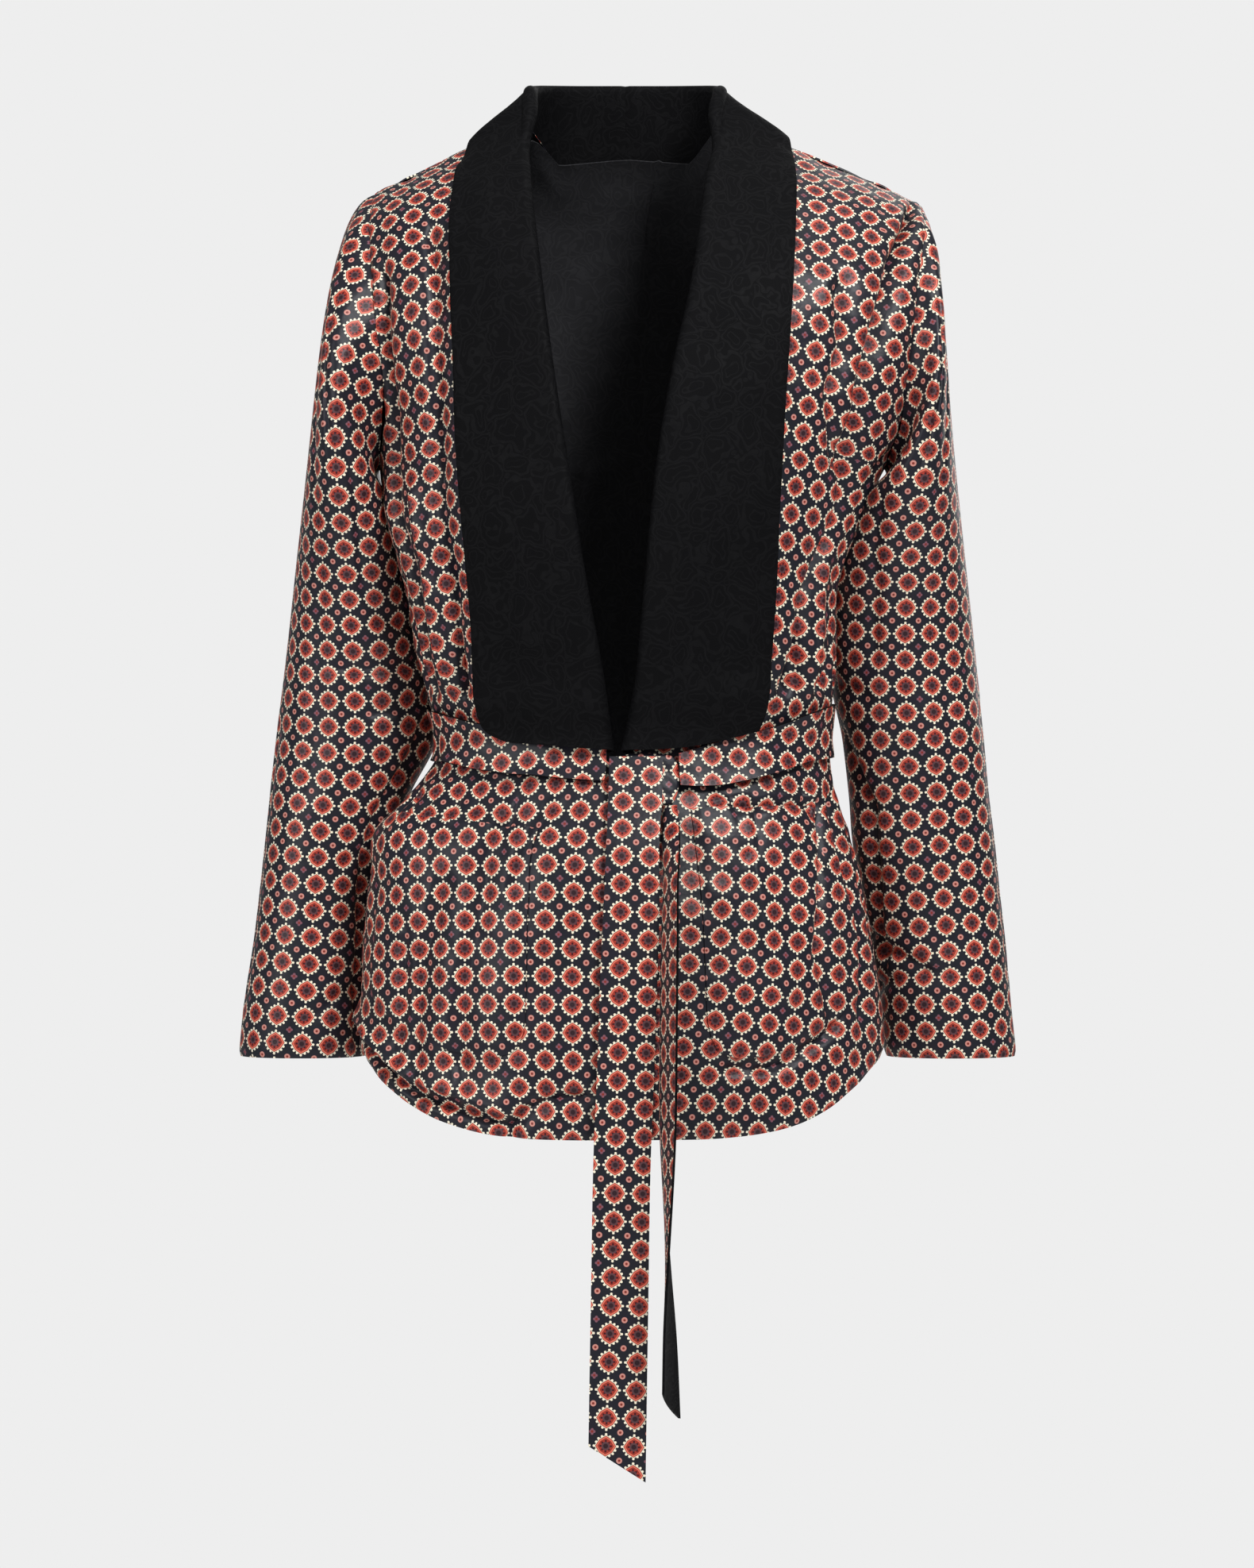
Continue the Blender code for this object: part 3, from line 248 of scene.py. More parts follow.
# The collar's sections round the neck: foot of the stand, roll, and the free edge on the form
NECK_STATIONS = table(
    ("foot_x", "right_roll", "left_roll", "roll_y", "roll_z", "lean",
     "right_x", "left_x", "level", "behind"),
    [
        (0.0000, 0.0000, 0.0000, 0.0690, 0.0490, 0.0, 0.0000, 0.0000, -0.0130, 1),
        (0.0290, 0.0320, 0.0320, 0.0660, 0.0486, 0.0, 0.0400, 0.0400, -0.0120, 1),
        (0.0500, 0.0560, 0.0560, 0.0505, 0.0466, 0.0, 0.0760, 0.0780, -0.0020, 1),
        (0.0575, 0.0626, 0.0626, 0.0392, 0.0450, 0.0, 0.0885, 0.0900, 0.0082, 1),
        (0.0640, 0.0680, 0.0680, 0.0270, 0.0430, 0.0, 0.0990, 0.1005, 0.0190, 1),
        (0.0715, 0.0695, 0.0690, 0.0020, 0.0385, 12.0, 0.1110, 0.1165, SHOULDER_LEVEL, 0),
        (0.0725, 0.0695, 0.0655, -0.0200, 0.0195, 40.0, 0.1160, 0.1195, 0.0215, 0),
    ])
FOOT_LIFT = -0.0015
FOOT_INSET = 0.0015
FOOT_SINK = 0.0040
NECK_CLEARANCE = 0.0035
FACING_WIDTHS = table(("level", "width"), [
    (-0.080, 0.044), (-0.044, 0.032), (-0.010, 0.016), (0.004, 0.007)])

# The lapels' sections: the roll, and the free edge, both as width from the middle and level on the form
LAPEL_STATIONS = {
    RIGHT: table(("roll_level", "roll_x", "outer_x", "outer_level", "sag"), [
        (-0.4431, -0.0073, -0.0790, -0.4356, 0.0005), (-0.4240, -0.0095, -0.0945, -0.4220, 0),
        (-0.3995, -0.0129, -0.1025, -0.3960, 0), (-0.3523, -0.0212, -0.1075, -0.3500, 0),
        (-0.3053, -0.0295, -0.1112, -0.3036, 0), (-0.2358, -0.0401, -0.1165, -0.2330, 0),
        (-0.1640, -0.0507, -0.1200, -0.1640, 0), (-0.1150, -0.0570, -0.1222, -0.1200, 0),
        (-0.0717, -0.0619, -0.1230, -0.0793, 0), (-0.0420, -0.0650, -0.1240, -0.0460, 0),
        (-0.0174, -0.0668, -0.1228, -0.0200, 0), (0.0040, -0.0680, -0.1205, 0.0030, 0)]),
    LEFT: table(("roll_level", "roll_x", "outer_x", "outer_level", "sag"), [
        (-0.4431, -0.0040, 0.0905, -0.4235, 0.0060), (-0.4240, 0.0000, 0.0955, -0.4080, 0.002),
        (-0.3995, 0.0055, 0.0992, -0.3900, 0), (-0.3523, 0.0108, 0.1025, -0.3500, 0),
        (-0.3053, 0.0150, 0.1050, -0.3036, 0), (-0.2358, 0.0222, 0.1088, -0.2330, 0),
        (-0.1640, 0.0345, 0.1135, -0.1640, 0), (-0.1150, 0.0450, 0.1165, -0.1200, 0),
        (-0.0689, 0.0518, 0.1194, -0.0720, 0), (-0.0440, 0.0545, 0.1205, -0.0470, 0),
        (-0.0218, 0.0571, 0.1215, -0.0245, 0), (0.0040, 0.0620, 0.1215, 0.0030, 0)]),
}
LAPEL_RINGS = [0.004, -0.010, -0.044, -0.080, -0.118, -0.155, -0.186, -0.210, -0.235, -0.278,
               -0.320, -0.358, -0.388, -0.408, -0.428, -0.4431]

# The folds: half width, depth, and the places that the bottom runs through, as turn and level, with
# lengths in millimetres
MM = 0.001
FOLDS = [
    # Right front: from the armhole down, beside the lapel, and between them above the belt
    (8.5, -8, [(-57, -78), (-60, -128), (-64, -184), (-70, -240), (-71, -300), (-75, -395)]),
    (8, -6.5, [(-36, -50), (-40, -140), (-46, -216), (-48, -276), (-50, -340), (-54, -402)]),
    (7, 3.5, [(-58, -260), (-61, -330), (-63, -395)]),
    # Left front: the long drape from the shoulder towards the knot, and two that join it
    (9.5, -11, [(54, 10), (50, -60), (49, -120), (49, -180), (53, -225), (62, -265),
                (60, -300), (55, -340), (52, -375), (47, -405)]),
    (7, -5.5, [(35, -100), (40, -150), (40, -188), (45, -216), (52, -240)]),
    (8.5, -7.5, [(72, -240), (77, -290), (78, -330), (74, -364), (67, -398)]),
    (6, 3, [(66, -300), (65, -350), (60, -395)]),
    # Right skirt
    (10, -5, [(-30, -500), (-32, -554), (-34, -596), (-36, -640), (-37, -672)]),
    (9, -4.8, [(-43, -545), (-48, -604), (-49, -648), (-51, -692)]),
    (7.5, -3.6, [(-55, -600), (-54, -652), (-57, -686)]),
    (6.5, -3.4, [(-19, -482), (-21, -508), (-24, -545)]),
    (8, 4.5, [(-88, -688), (-62, -694), (-50, -696), (-38, -692), (-26, -698)]),
    (5, -5, [(-82, -703), (-52, -706), (-34, -704), (-24, -708)]),
    (5, -5.2, [(-8, -684), (-14, -686), (-20, -695), (-23, -707), (-24, -716)]),
    # Left skirt
    (4.2, 3, [(24, -480), (44, -476), (61, -481)]),
    (4, -2.6, [(30, -488), (47, -486), (58, -489)]),
    (6, -5.6, [(21, -668), (34, -673), (42, -667), (54, -661)]),
    (9, 3.2, [(32, -530), (32, -560), (33, -590), (37, -622)]),
    (7, -4.5, [(64, -486), (57, -520), (51, -566), (48, -600), (51, -650)]),
    (9, -5, [(73, -486), (69, -540), (71, -600), (66, -664)]),
    (8.5, -4.2, [(86, -500), (81, -560), (85, -640)]),
    # Back above the belt
    (12, -5.5, [(110, -398), (114, -320), (124, -240)]),
    (13, -6.5, [(137, -398), (142, -310), (144, -215)]),
    (11, -4.2, [(162, -398), (166, -330), (164, -262)]),
    (12.5, -6, [(197, -398), (194, -320), (188, -232)]),
    (13, -6.5, [(223, -398), (219, -300), (212, -210)]),
    (11.5, -5, [(249, -398), (243, -330), (233, -252)]),
    (10, -4.5, [(128, -120), (140, -150), (156, -165)]),
    (9.5, -4, [(230, -105), (220, -140), (206, -158)]),
    # Back of the skirt
    (12, -5.5, [(119, -482), (115, -560), (117, -645)]),
    (13, -6, [(149, -482), (152, -540), (155, -612)]),
    (12.5, -5.5, [(187, -482), (183, -580), (185, -672)]),
    (12, -5.5, [(213, -482), (210, -540), (207, -596)]),
    (13, -6, [(239, -482), (243, -570), (244, -655)]),
    (7, 3.6, [(100, -694), (130, -698), (160, -692)]),
    (7, 3.4, [(190, -696), (225, -692), (250, -698)]),
]

# Gathers that run up and down from the belt: where they start, how far they run and lean, and their
# form, with lengths in millimetres
GATHERS = [
    # turn, way, length, lean, half width, depth
    (-84, 1, 55, 3, 4.5, -2.6), (-79, 1, 90, -2, 5, -3.2), (-73, 1, 50, 2, 4, -2.4),
    (-66, 1, 75, 4, 4.8, 2.2), (-61, 1, 42, -3, 4, -2.6), (-53, 1, 66, 1, 4.5, -2.4),
    (-88, -1, 70, -2, 5, -2.4), (-77, -1, 48, 4, 4.2, -2.6), (-70, -1, 88, 2, 5.2, -2.2),
    (-59, -1, 40, -3, 4, -2.4), (-50, -1, 62, 2, 4.6, -2), (-41, -1, 36, -2, 4, -2),
    (-30, -1, 52, 3, 4.4, -1.8), (50, 1, 48, 2, 4.2, -2.4), (56, 1, 82, -3, 5, -3),
    (64, 1, 44, 2, 4, -2.6), (70, 1, 70, -2, 4.6, 2), (76, 1, 92, 3, 5, -3),
    (84, 1, 52, -2, 4.2, -2.6), (28, -1, 40, 2, 4.2, -1.8), (36, -1, 64, -3, 4.6, -2.2),
    (45, -1, 38, 2, 4, -2), (55, -1, 56, 3, 4.6, -2.4), (69, -1, 80, -2, 5, -2.4),
    (77, -1, 42, 2, 4, -2.6), (87, -1, 66, -3, 4.6, -2.2), (97, 1, 60, 3, 5, -2.8),
    (105, 1, 90, -2, 5.5, -2.6), (120, 1, 50, 4, 4.6, -2.4), (129, 1, 78, 2, 5.2, 2.2),
    (147, 1, 56, -3, 4.6, -2.6), (156, 1, 94, 2, 5.5, -2.6), (172, 1, 48, -2, 4.4, -2.2),
    (181, 1, 80, 3, 5.2, -2.6), (205, 1, 58, -3, 4.8, -2.6), (213, 1, 86, 2, 5.2, 2),
    (231, 1, 50, -2, 4.6, -2.6), (239, 1, 76, 3, 5, -2.4), (256, 1, 62, -2, 4.8, -2.8),
    (100, -1, 58, 3, 5, -2.6), (108, -1, 86, -3, 5.5, -2.4), (127, -1, 50, 2, 4.6, -2.6),
    (135, -1, 74, -2, 5.2, -2.2), (143, -1, 46, 3, 4.4, 1.8), (160, -1, 84, -2, 5.5, -2.6),
    (170, -1, 52, 2, 4.6, -2.4), (178, -1, 70, -3, 5, -2.2), (197, -1, 48, 2, 4.6, -2.6),
    (204, -1, 80, -2, 5.2, -2.2), (221, -1, 56, 3, 4.8, -2.6), (229, -1, 88, -2, 5.4, -2.4),
    (252, -1, 50, 2, 4.6, -2.6), (262, -1, 72, -3, 5, -2.2),
]

# Slow unevenness of cloth that hangs: waves round the body and up it, and their height
RIPPLES = [
    # waves round, waves up each metre, start, height
    (7, 5.0, 0.3, 0.00050),
    (11, -8.0, 1.9, 0.00040),
    (17, 3.0, 4.1, 0.00030),
    (5, 19.0, 2.6, 0.00028),
    (23, -13.0, 5.2, 0.00020),
    (31, 27.0, 0.9, 0.00022),
    (13, 46.0, 3.3, 0.00020),
]
FOLD_RADIUS = 0.15
STEEP_FLANK = 0.55
SLOW_FLANK = 1.35
SOFT_SHARE = 0.6
FOLD_SHARE = 1.30
GATHER_SHARE = 1.5
GATHER_TUCK = 0.004
GATHER_FADE = 0.85
HEM_TURN = 0.0014
HEM_REACH = 0.0050
EVEN_STEPS = 49
FACING_STEP = 0.6
FACING_RISE = 0.002
BELT_ZONE = (-0.471, -0.408)
BELT_ZONE_EDGE = 0.012


def fade(value, start, end):
    """Rise smoothly from 0 at start to 1 at end."""
    part = np.clip((value - start) / (end - start), 0, 1)
    return part * part * (3 - 2 * part)


def trough(reach, height, path, half_width, rise):
    """Depth of a fold whose bottom runs along a path on the unrolled cloth.

    One flank is steep and the other slow, and the bottom is sharper than the shoulders.
    """
    nearest = np.full(np.broadcast(reach, height).shape, np.inf)
    side = np.zeros(nearest.shape)
    for (start, foot), (end, top) in zip(path[:-1], path[1:]):
        run = end - start
        climb = top - foot
        length = np.hypot(run, climb)
        along = np.clip(((reach - start) * run + (height - foot) * climb) / length ** 2, 0, 1)
        away = np.hypot(reach - start - along * run, height - foot - along * climb)
        across = ((reach - start) * climb - (height - foot) * run) / length
        side = np.where(away < nearest, across, side)
        nearest = np.minimum(nearest, away)
    steep = fade(side, -half_width / 3, half_width / 3)
    away = nearest / half_width / (SLOW_FLANK + (STEEP_FLANK - SLOW_FLANK) * steep)
    return rise * (SOFT_SHARE * np.exp(-away ** 2) + (1 - SOFT_SHARE) * np.exp(-2 * away))


def unrolled_path(path, radius):
    """A path of turns and heights in millimetres, with each turn as a length of cloth."""
    return [(np.radians(turn) * radius, height * MM) for turn, height in path]


def folds(turn, level):
    """Depth of the folds at a place on the form, no large ones under the belt."""
    turn = np.where(turn < BACK_STARTS_TURN, turn + 360, turn)
    reach = np.radians(turn) * FOLD_RADIUS
    depth = np.zeros(np.broadcast(turn, level).shape)
    for half_width, rise, path in FOLDS:
        path = unrolled_path(path, FOLD_RADIUS)
        depth = depth + trough(reach, level, path, half_width * MM, rise * MM * FOLD_SHARE)
    for middle, way, length, lean, half_width, rise in GATHERS:
        foot = BELT_ZONE[(way + 1) // 2] - way * GATHER_TUCK
        path = unrolled_path([(middle, foot / MM), (middle + lean, foot / MM + way * length)], FOLD_RADIUS)
        along = np.clip(way * (level - foot) / (length * MM), 0, 1)
        gather = trough(reach, level, path, half_width * MM, rise * MM * GATHER_SHARE)
        depth = depth + gather * (1 - GATHER_FADE * along)
    below = 1 - fade(level, BELT_ZONE[0] - BELT_ZONE_EDGE, BELT_ZONE[0])
    above = fade(level, BELT_ZONE[1], BELT_ZONE[1] + BELT_ZONE_EDGE)
    depth = depth * (below + above)
    angle = np.radians(turn)
    for waves, climb, start, height in RIPPLES:
        depth = depth + height * np.sin(waves * angle + climb * level * 2 * np.pi + start)
    hem = fade(FORM["level"][0] + HEM_REACH - level, 0, HEM_REACH)
    return depth - HEM_TURN * hem


def body_form(column, level):
    """One measure of the body's form at a level."""
    return read(FORM, "level", column, level)


def side_width(x, level):
    """Half the form's width, on the side that x lies on."""
    return np.where(x < 0, body_form("right_width", level), body_form("left_width", level))


def form(turn, level):
    """The bare form of the body of the jacket."""
    angle = np.radians(turn)
    across = np.sin(angle)
    along = np.cos(angle)
    rounding = 2 / body_form("square", level)
    middle = body_form("widest_y", level)
    depth = np.where(along > 0, body_form("front_y", level), body_form("back_y", level)) - middle
    share = np.abs(across) ** rounding
    x = np.sign(across) * side_width(across, level) * share
    y = middle + depth * np.abs(along) ** rounding - np.sign(along) * HALF_SEAM
    lift = body_form("side_lift", level)
    lift = lift * np.where((across > 0) & (lift < 0), LEFT_SHOULDER_DROP, 1.0)
    z = level + lift * share ** body_form("lift_power", level)
    return np.stack([x, y, z], axis=-1)


def facing(turn, level):
    """The direction out of the form."""
    side = np.where(np.abs((turn + 90) % 180 - 90) < 90 - FACING_STEP, FACING_STEP, -FACING_STEP)
    around = form(turn + side, level) - form(turn - side, level)
    around = around * np.sign(side)[..., None]
    top = np.minimum(level + FACING_RISE, SHOULDER_LEVEL)
    up = form(turn, top) - form(turn, top - 2 * FACING_RISE)
    return unit(np.cross(around, up))


def body(turn, level, rise=0.0):
    """A place on the folded cloth of the body, moved out by rise."""
    turn, level = np.broadcast_arrays(np.asarray(turn, float), np.asarray(level, float))
    out = facing(turn, level)
    return form(turn, level) + out * (folds(turn, level) + rise)[..., None]


def turn_of(x, level):
    """The turn on the front at which the form reaches x."""
    share = np.clip(np.abs(x) / side_width(x, level), 0, 1) ** (body_form("square", level) / 2)
    return np.sign(x) * np.degrees(np.arcsin(share))


def even_turn(start, end, level, share):
    """The turn that lies a given share of the way along a ring from start to end, measured on the cloth."""
    start, end, level, share = np.broadcast_arrays(start, end, level, share)
    parts = np.linspace(0, 1, EVEN_STEPS)
    turns = start[:, None] + (end - start)[:, None] * parts
    spots = form(turns, np.repeat(level[:, None], EVEN_STEPS, axis=1))
    length = np.cumsum(np.linalg.norm(np.diff(spots, axis=1), axis=-1), axis=1)
    length = np.concatenate([np.zeros((len(length), 1)), length], axis=1) / length[:, -1:]
    low = np.clip(np.sum(length < share[:, None], axis=1) - 1, 0, EVEN_STEPS - 2)
    row = np.arange(len(low))
    part = (share - length[row, low]) / (length[row, low + 1] - length[row, low])
    return turns[row, low] + part * (turns[row, low + 1] - turns[row, low])


def lapel_rise(level):
    """How far out the lapel's leaf lies, further where it covers the belt's edge."""
    return LAPEL_RISE + (LAPEL_RISE_OVER_BELT - LAPEL_RISE) * fade(-level, *LAPEL_CLEARS_BELT)


def roll_radius(level):
    """Radius of the roll that joins the lapel's leaf to its facing."""
    return (lapel_rise(level) + FACING_SINK) / 2


def front_edge(side, level):
    """How far across the body a front reaches: into the lapel's roll above, to its lapped edge below."""
    stations = LAPEL_STATIONS[side]
    levels = stations["roll_level"]
    roll = {"level": levels, "x": stations["roll_x"] + side * (roll_radius(levels) + COLLAR_WALL / 2)}
    above = read(roll, "level", "x", level) + side * NECK_CLEARANCE * fade(level, *NECK_CLEARS)
    top = fade(level, levels[-1], SHOULDER_LEVEL)
    above = above + (side * NECK_HALF_WIDTH - above) * top
    below = read(LAPPED_EDGE[side], "level", "x", level)
    part = fade(level, levels[0] - EDGE_BLEND[0], levels[0] - EDGE_BLEND[1])
    return below + (above - below) * part


def lap(side, turn):
    """How far a front is moved out so that the right one laps over the left."""
    if side == LEFT:
        return np.zeros(np.shape(turn))
    return LAP_RISE * fade(turn, *LAP_TURNS)


# Levels of the rings of cloth, closer at the belt, at the hem and over the shoulder
LOWER_RINGS = [-0.716, -0.702, -0.682, -0.650, -0.610, -0.570, -0.532, -0.503, -0.478, -0.456,
               -0.446, -0.428, -0.408, -0.388, -0.358, -0.320, -0.278, ARMPIT_LEVEL]
UPPER_RINGS = [-0.2321, -0.2236, -0.208, -0.186, -0.155, -0.118, -0.080, -0.044, -0.010, 0.016,
               SHOULDER_LEVEL]
RINGS = np.array(LOWER_RINGS + UPPER_RINGS)
LINING_RINGS = np.array([-0.698, -0.650, -0.570, -0.503, -0.456, -0.428, -0.388, -0.320, -0.278,
                         ARMPIT_LEVEL] + UPPER_RINGS[1:])
ARMHOLE_RINGS = (LOWER_RINGS[-1:] + UPPER_RINGS)[::-1]


def ring_level(up, rings):
    """The level of a ring, from 0 at the lowest to 1 at the highest."""
    return np.interp(up, np.linspace(0, 1, len(rings)), rings)


# Finishes

# The print: one medallion in each square of the lattice, a small ring or a blossom at each corner
PRINT_PITCH = 0.0197
TOP_BEAD = (0.00825, 0.0)
SIDE_BEADS = [(0.00672, 0.00278), (0.00518, 0.00518)]
BEAD_RADIUS = 0.00088
CREAM_REACH = 0.0079
OCTAGON_CUT = 0.62
PETALS = [(0.0037, 0.0), (0.00235, 0.00235)]
PETAL_RADIUS = 0.00080
ROSETTE_RADIUS = 0.0030
ROSETTE_HEART_RADIUS = 0.0017
DOT_RADIUS = 0.0021
DOT_HEART = 0.0009
DOT_HALO = 0.0027
BLOSSOM_PETAL = (0.00135, 0.0)
BLOSSOM_RADIUS = 0.0010
BLOSSOM_EVERY = 4
BLOSSOM_STEP = 2
CELLS_BEFORE = 4000
FIRST_CELL = (0.5, 0.01)
EDGE_SOFTNESS = 0.00016
HALO_SOFTNESS = 0.0006

CREAM = (0.970, 0.890, 0.700)
SALMON = (0.740, 0.160, 0.105)
RUST = (0.190, 0.018, 0.010)
RED = (0.390, 0.042, 0.028)
MAROON = (0.060, 0.006, 0.010)
ROSE_GREY = (0.110, 0.050, 0.058)
ROSETTE_HEART = (0.032, 0.013, 0.018)
SLATE = (0.012, 0.016, 0.021)
DUSK = (0.017, 0.013, 0.023)
MAUVE = (0.230, 0.095, 0.125)
DOT_PINK = (0.620, 0.270, 0.225)
DOT_RED = (0.240, 0.028, 0.020)
OCTAGONS = [(RUST, 0.0074), (SALMON, 0.0070), (RUST, 0.0057), (RED, 0.0053)]
ROSETTE = [(ROSE_GREY, ROSETTE_RADIUS), (ROSETTE_HEART, ROSETTE_HEART_RADIUS)]

# Scales are noise or waves in each metre; a range is the least value and how much more it may be
SATIN_TINT_SCALE = 38.0
SATIN_WEAR_SCALE = 14.0
SATIN_CRUMPLE_SCALE = 46.0
SATIN_THREADS = 800.0
SATIN_THREAD_SHARE = 0.02
SATIN_BRIGHTNESS = (0.89, 0.22)
SATIN_ROUGHNESS = (0.34, 0.10)
SATIN_GLOSS = 0.26
SATIN_BUMP = (0.6, 0.0018)
WEAR_DETAIL = 3.0
CRUMPLE_DETAIL = (4.0, 0.55)

BLACK = (0.0048, 0.0048, 0.0054)
BLACK_FIGURE = (0.0078, 0.0078, 0.0086)
# The lining's black and its figure are painted several times lighter than the collar's black: painted light
# that stands in for the light that scarcely reaches inside the jacket.
LINING_BLACK_WITH_PAINTED_LIGHT = (0.0300, 0.0300, 0.0330)
LINING_FIGURE_WITH_PAINTED_LIGHT = (0.0390, 0.0390, 0.0425)


class Number:
    """A number that varies over a piece; arithmetic on it adds nodes to its finish."""

    def __init__(self, finish, socket):
        self.finish = finish
        self.socket = socket

    def math(self, operation, *others, clamp=False):
        """A sum that starts with this number."""
        return self.finish.math(operation, self, *others, clamp=clamp)

    def __add__(self, other):
        return self.math("ADD", other)

    def __sub__(self, other):
        return self.math("SUBTRACT", other)

    def __rsub__(self, other):
        return self.finish.math("SUBTRACT", other, self)

    def __mul__(self, other):
        return self.math("MULTIPLY", other)

    def __truediv__(self, other):
        return self.math("DIVIDE", other)

    def __abs__(self):
        return self.math("ABSOLUTE")

    __radd__ = __add__
    __rmul__ = __mul__

    def under(self, limit, softness=EDGE_SOFTNESS):
        """1 where the number lies under a limit and 0 above it, with a soft edge."""
        return self.math("MULTIPLY_ADD", -1 / softness, limit / softness + 0.5, clamp=True)


class Finish:
    """One material, with the nodes that its shader reads."""

    def __init__(self, name):
        self.material = bpy.data.materials.new(name)
        self.material.use_nodes = True
        self.tree = self.material.node_tree
        self.shader = self.tree.nodes["Principled BSDF"]

    def node(self, kind, settings=None, values=None, result=0):
        """Add a node: its settings first, then the values or links of its sockets."""
        made = self.tree.nodes.new(kind)
        for name, setting in (settings or {}).items():
            setattr(made, name, setting)
        self.fill(made, values or {})
        return Number(self, made.outputs[result])

    def math(self, operation, *values, clamp=False):
        """Add a Math node on numbers, of which some may vary over the piece."""
        settings = {"operation": operation, "use_clamp": clamp}
        return self.node("ShaderNodeMath", settings, dict(enumerate(values)))

    def fill(self, made, values):
        """Give a node's sockets their values or links."""
        for key, value in values.items():
            socket = made.inputs[key]
            if isinstance(value, Number):
                self.tree.links.new(value.socket, socket)
            elif isinstance(value, tuple) and len(value) == 3 and socket.type == "RGBA":
                socket.default_value = (*value, 1.0)
            else:
                socket.default_value = value

    def blend(self, under, over, share):
        """One colour over another."""
        settings = {"data_type": "RGBA"}
        return self.node("ShaderNodeMix", settings, {0: share, 6: under, 7: over}, result=2)

    def cloth_place(self):
        """Across and along the flat cloth, in metres."""
        cut = self.node("ShaderNodeUVMap", {"uv_map": "cut"})
        parts = self.node("ShaderNodeSeparateXYZ", None, {0: cut})
        return parts, Number(self, parts.socket.node.outputs[1])

    def noise(self, scale, detail=2.0, roughness=0.5):
        """Soft noise in the object's own space."""
        place = self.node("ShaderNodeTexCoord", result=3)
        return self.node("ShaderNodeTexNoise", None,
                         {"Vector": place, "Scale": scale, "Detail": detail, "Roughness": roughness})

    def threads(self, count):
        """Fine diagonal threads on the flat cloth."""
        settings = {"wave_type": "BANDS", "bands_direction": "DIAGONAL"}
        values = {"Vector": self.node("ShaderNodeUVMap", {"uv_map": "cut"}), "Scale": count}
        return self.node("ShaderNodeTexWave", settings, values, result=1)

    def bump(self, height, strength, distance):
        """Feed a height to the shader's normal."""
        values = {"Strength": strength, "Distance": distance, "Height": height}
        self.fill(self.shader, {"Normal": self.node("ShaderNodeBump", None, values)})


def distance_to(x, y, spot=(0.0, 0.0)):
    """Distance from a place to a spot."""
    across = x - spot[0]
    up = y - spot[1]
    return (across * across + up * up).math("SQRT")


def folded(x, y):
    """The larger and the smaller of two distances, which folds a pattern into an eighth of a turn."""
    return x.math("MAXIMUM", y), x.math("MINIMUM", y)


def printed_satin(name):
    """Satin printed with beaded medallions on a square lattice, with small rings between them."""
    finish = Finish(name)
    across, along = finish.cloth_place()
    cells = [across / PRINT_PITCH, along / PRINT_PITCH]
    x, y = [abs(cell.math("FRACT") - 0.5) * PRINT_PITCH for cell in cells]
    major, minor = folded(x, y)
    reach = distance_to(x, y)
    octagon = minor * OCTAGON_CUT + major
    beads = distance_to(major, minor, TOP_BEAD)
    for bead in SIDE_BEADS:
        beads = beads.math("MINIMUM", distance_to(major, minor, bead))
    petals = distance_to(major, minor, PETALS[0]).math("MINIMUM", distance_to(major, minor, PETALS[1]))

    color = finish.blend(SLATE, DUSK, finish.noise(SATIN_TINT_SCALE, 1.0))
    cream = beads.under(BEAD_RADIUS).math("MAXIMUM", octagon.under(CREAM_REACH))
    color = finish.blend(color, CREAM, cream)
    for paint, size in OCTAGONS:
        color = finish.blend(color, paint, octagon.under(size))
    color = finish.blend(color, MAROON, petals.under(PETAL_RADIUS))
    for paint, size in ROSETTE:
        color = finish.blend(color, paint, reach.under(size))

    corner_x, corner_y = [PRINT_PITCH / 2 - distance for distance in (x, y)]
    corner_reach = distance_to(corner_x, corner_y)
    corners = [cell.math("ROUND") for cell in cells]
    number = corners[0] + corners[1] * BLOSSOM_STEP + CELLS_BEFORE
    blossom_here = number.math("MODULO", BLOSSOM_EVERY).under(*FIRST_CELL)
    blossom = distance_to(*folded(corner_x, corner_y), BLOSSOM_PETAL).under(BLOSSOM_RADIUS)
    dot_here = 1 - blossom_here
    color = finish.blend(color, MAUVE, blossom * blossom_here)
    color = finish.blend(color, DUSK, corner_reach.under(DOT_HALO, HALO_SOFTNESS) * dot_here)
    color = finish.blend(color, DOT_PINK, corner_reach.under(DOT_RADIUS) * dot_here)
    color = finish.blend(color, DOT_RED, corner_reach.under(DOT_HEART))

    wear = finish.noise(SATIN_WEAR_SCALE, WEAR_DETAIL)
    brightness = wear * SATIN_BRIGHTNESS[1] + SATIN_BRIGHTNESS[0]
    worn = finish.node("ShaderNodeHueSaturation", None, {"Value": brightness, "Color": color})
    roughness = wear * SATIN_ROUGHNESS[1] + SATIN_ROUGHNESS[0]
    finish.fill(finish.shader, {"Base Color": worn, "Roughness": roughness,
                                "Specular IOR Level": SATIN_GLOSS})
    crumple = finish.noise(SATIN_CRUMPLE_SCALE, *CRUMPLE_DETAIL)
    finish.bump(finish.threads(SATIN_THREADS) * SATIN_THREAD_SHARE + crumple, *SATIN_BUMP)
    return finish.material


# The black cloth's figure: linked rings, a knot where four meet, and a smaller ring inside each
FIGURE_PITCH = 0.021
FIGURE_RING = 0.0092
FIGURE_WIDTH = 0.0011
FIGURE_WANDER = 2.2
FIGURE_SOFTNESS = 0.0004
FIGURE_KNOT = (0.0034, 0.0007)
FIGURE_HEART = (0.0042, 0.0006)
BLACK_WANDER_SCALES = (36.0, 43.0)
BLACK_WAVER_SCALE = 240.0
BLACK_CLOUD_SCALE = 22.0
BLACK_CRUMPLE_SCALE = 52.0
BLACK_THREADS = 620.0
BLACK_GLOSS = 0.04
BLACK_BUMP_STRENGTH = 0.5
WAVER_STRETCH = (1.3, 0.1)
FIGURE_SHINES = 0.10
CLOUD_DULLS = 0.08
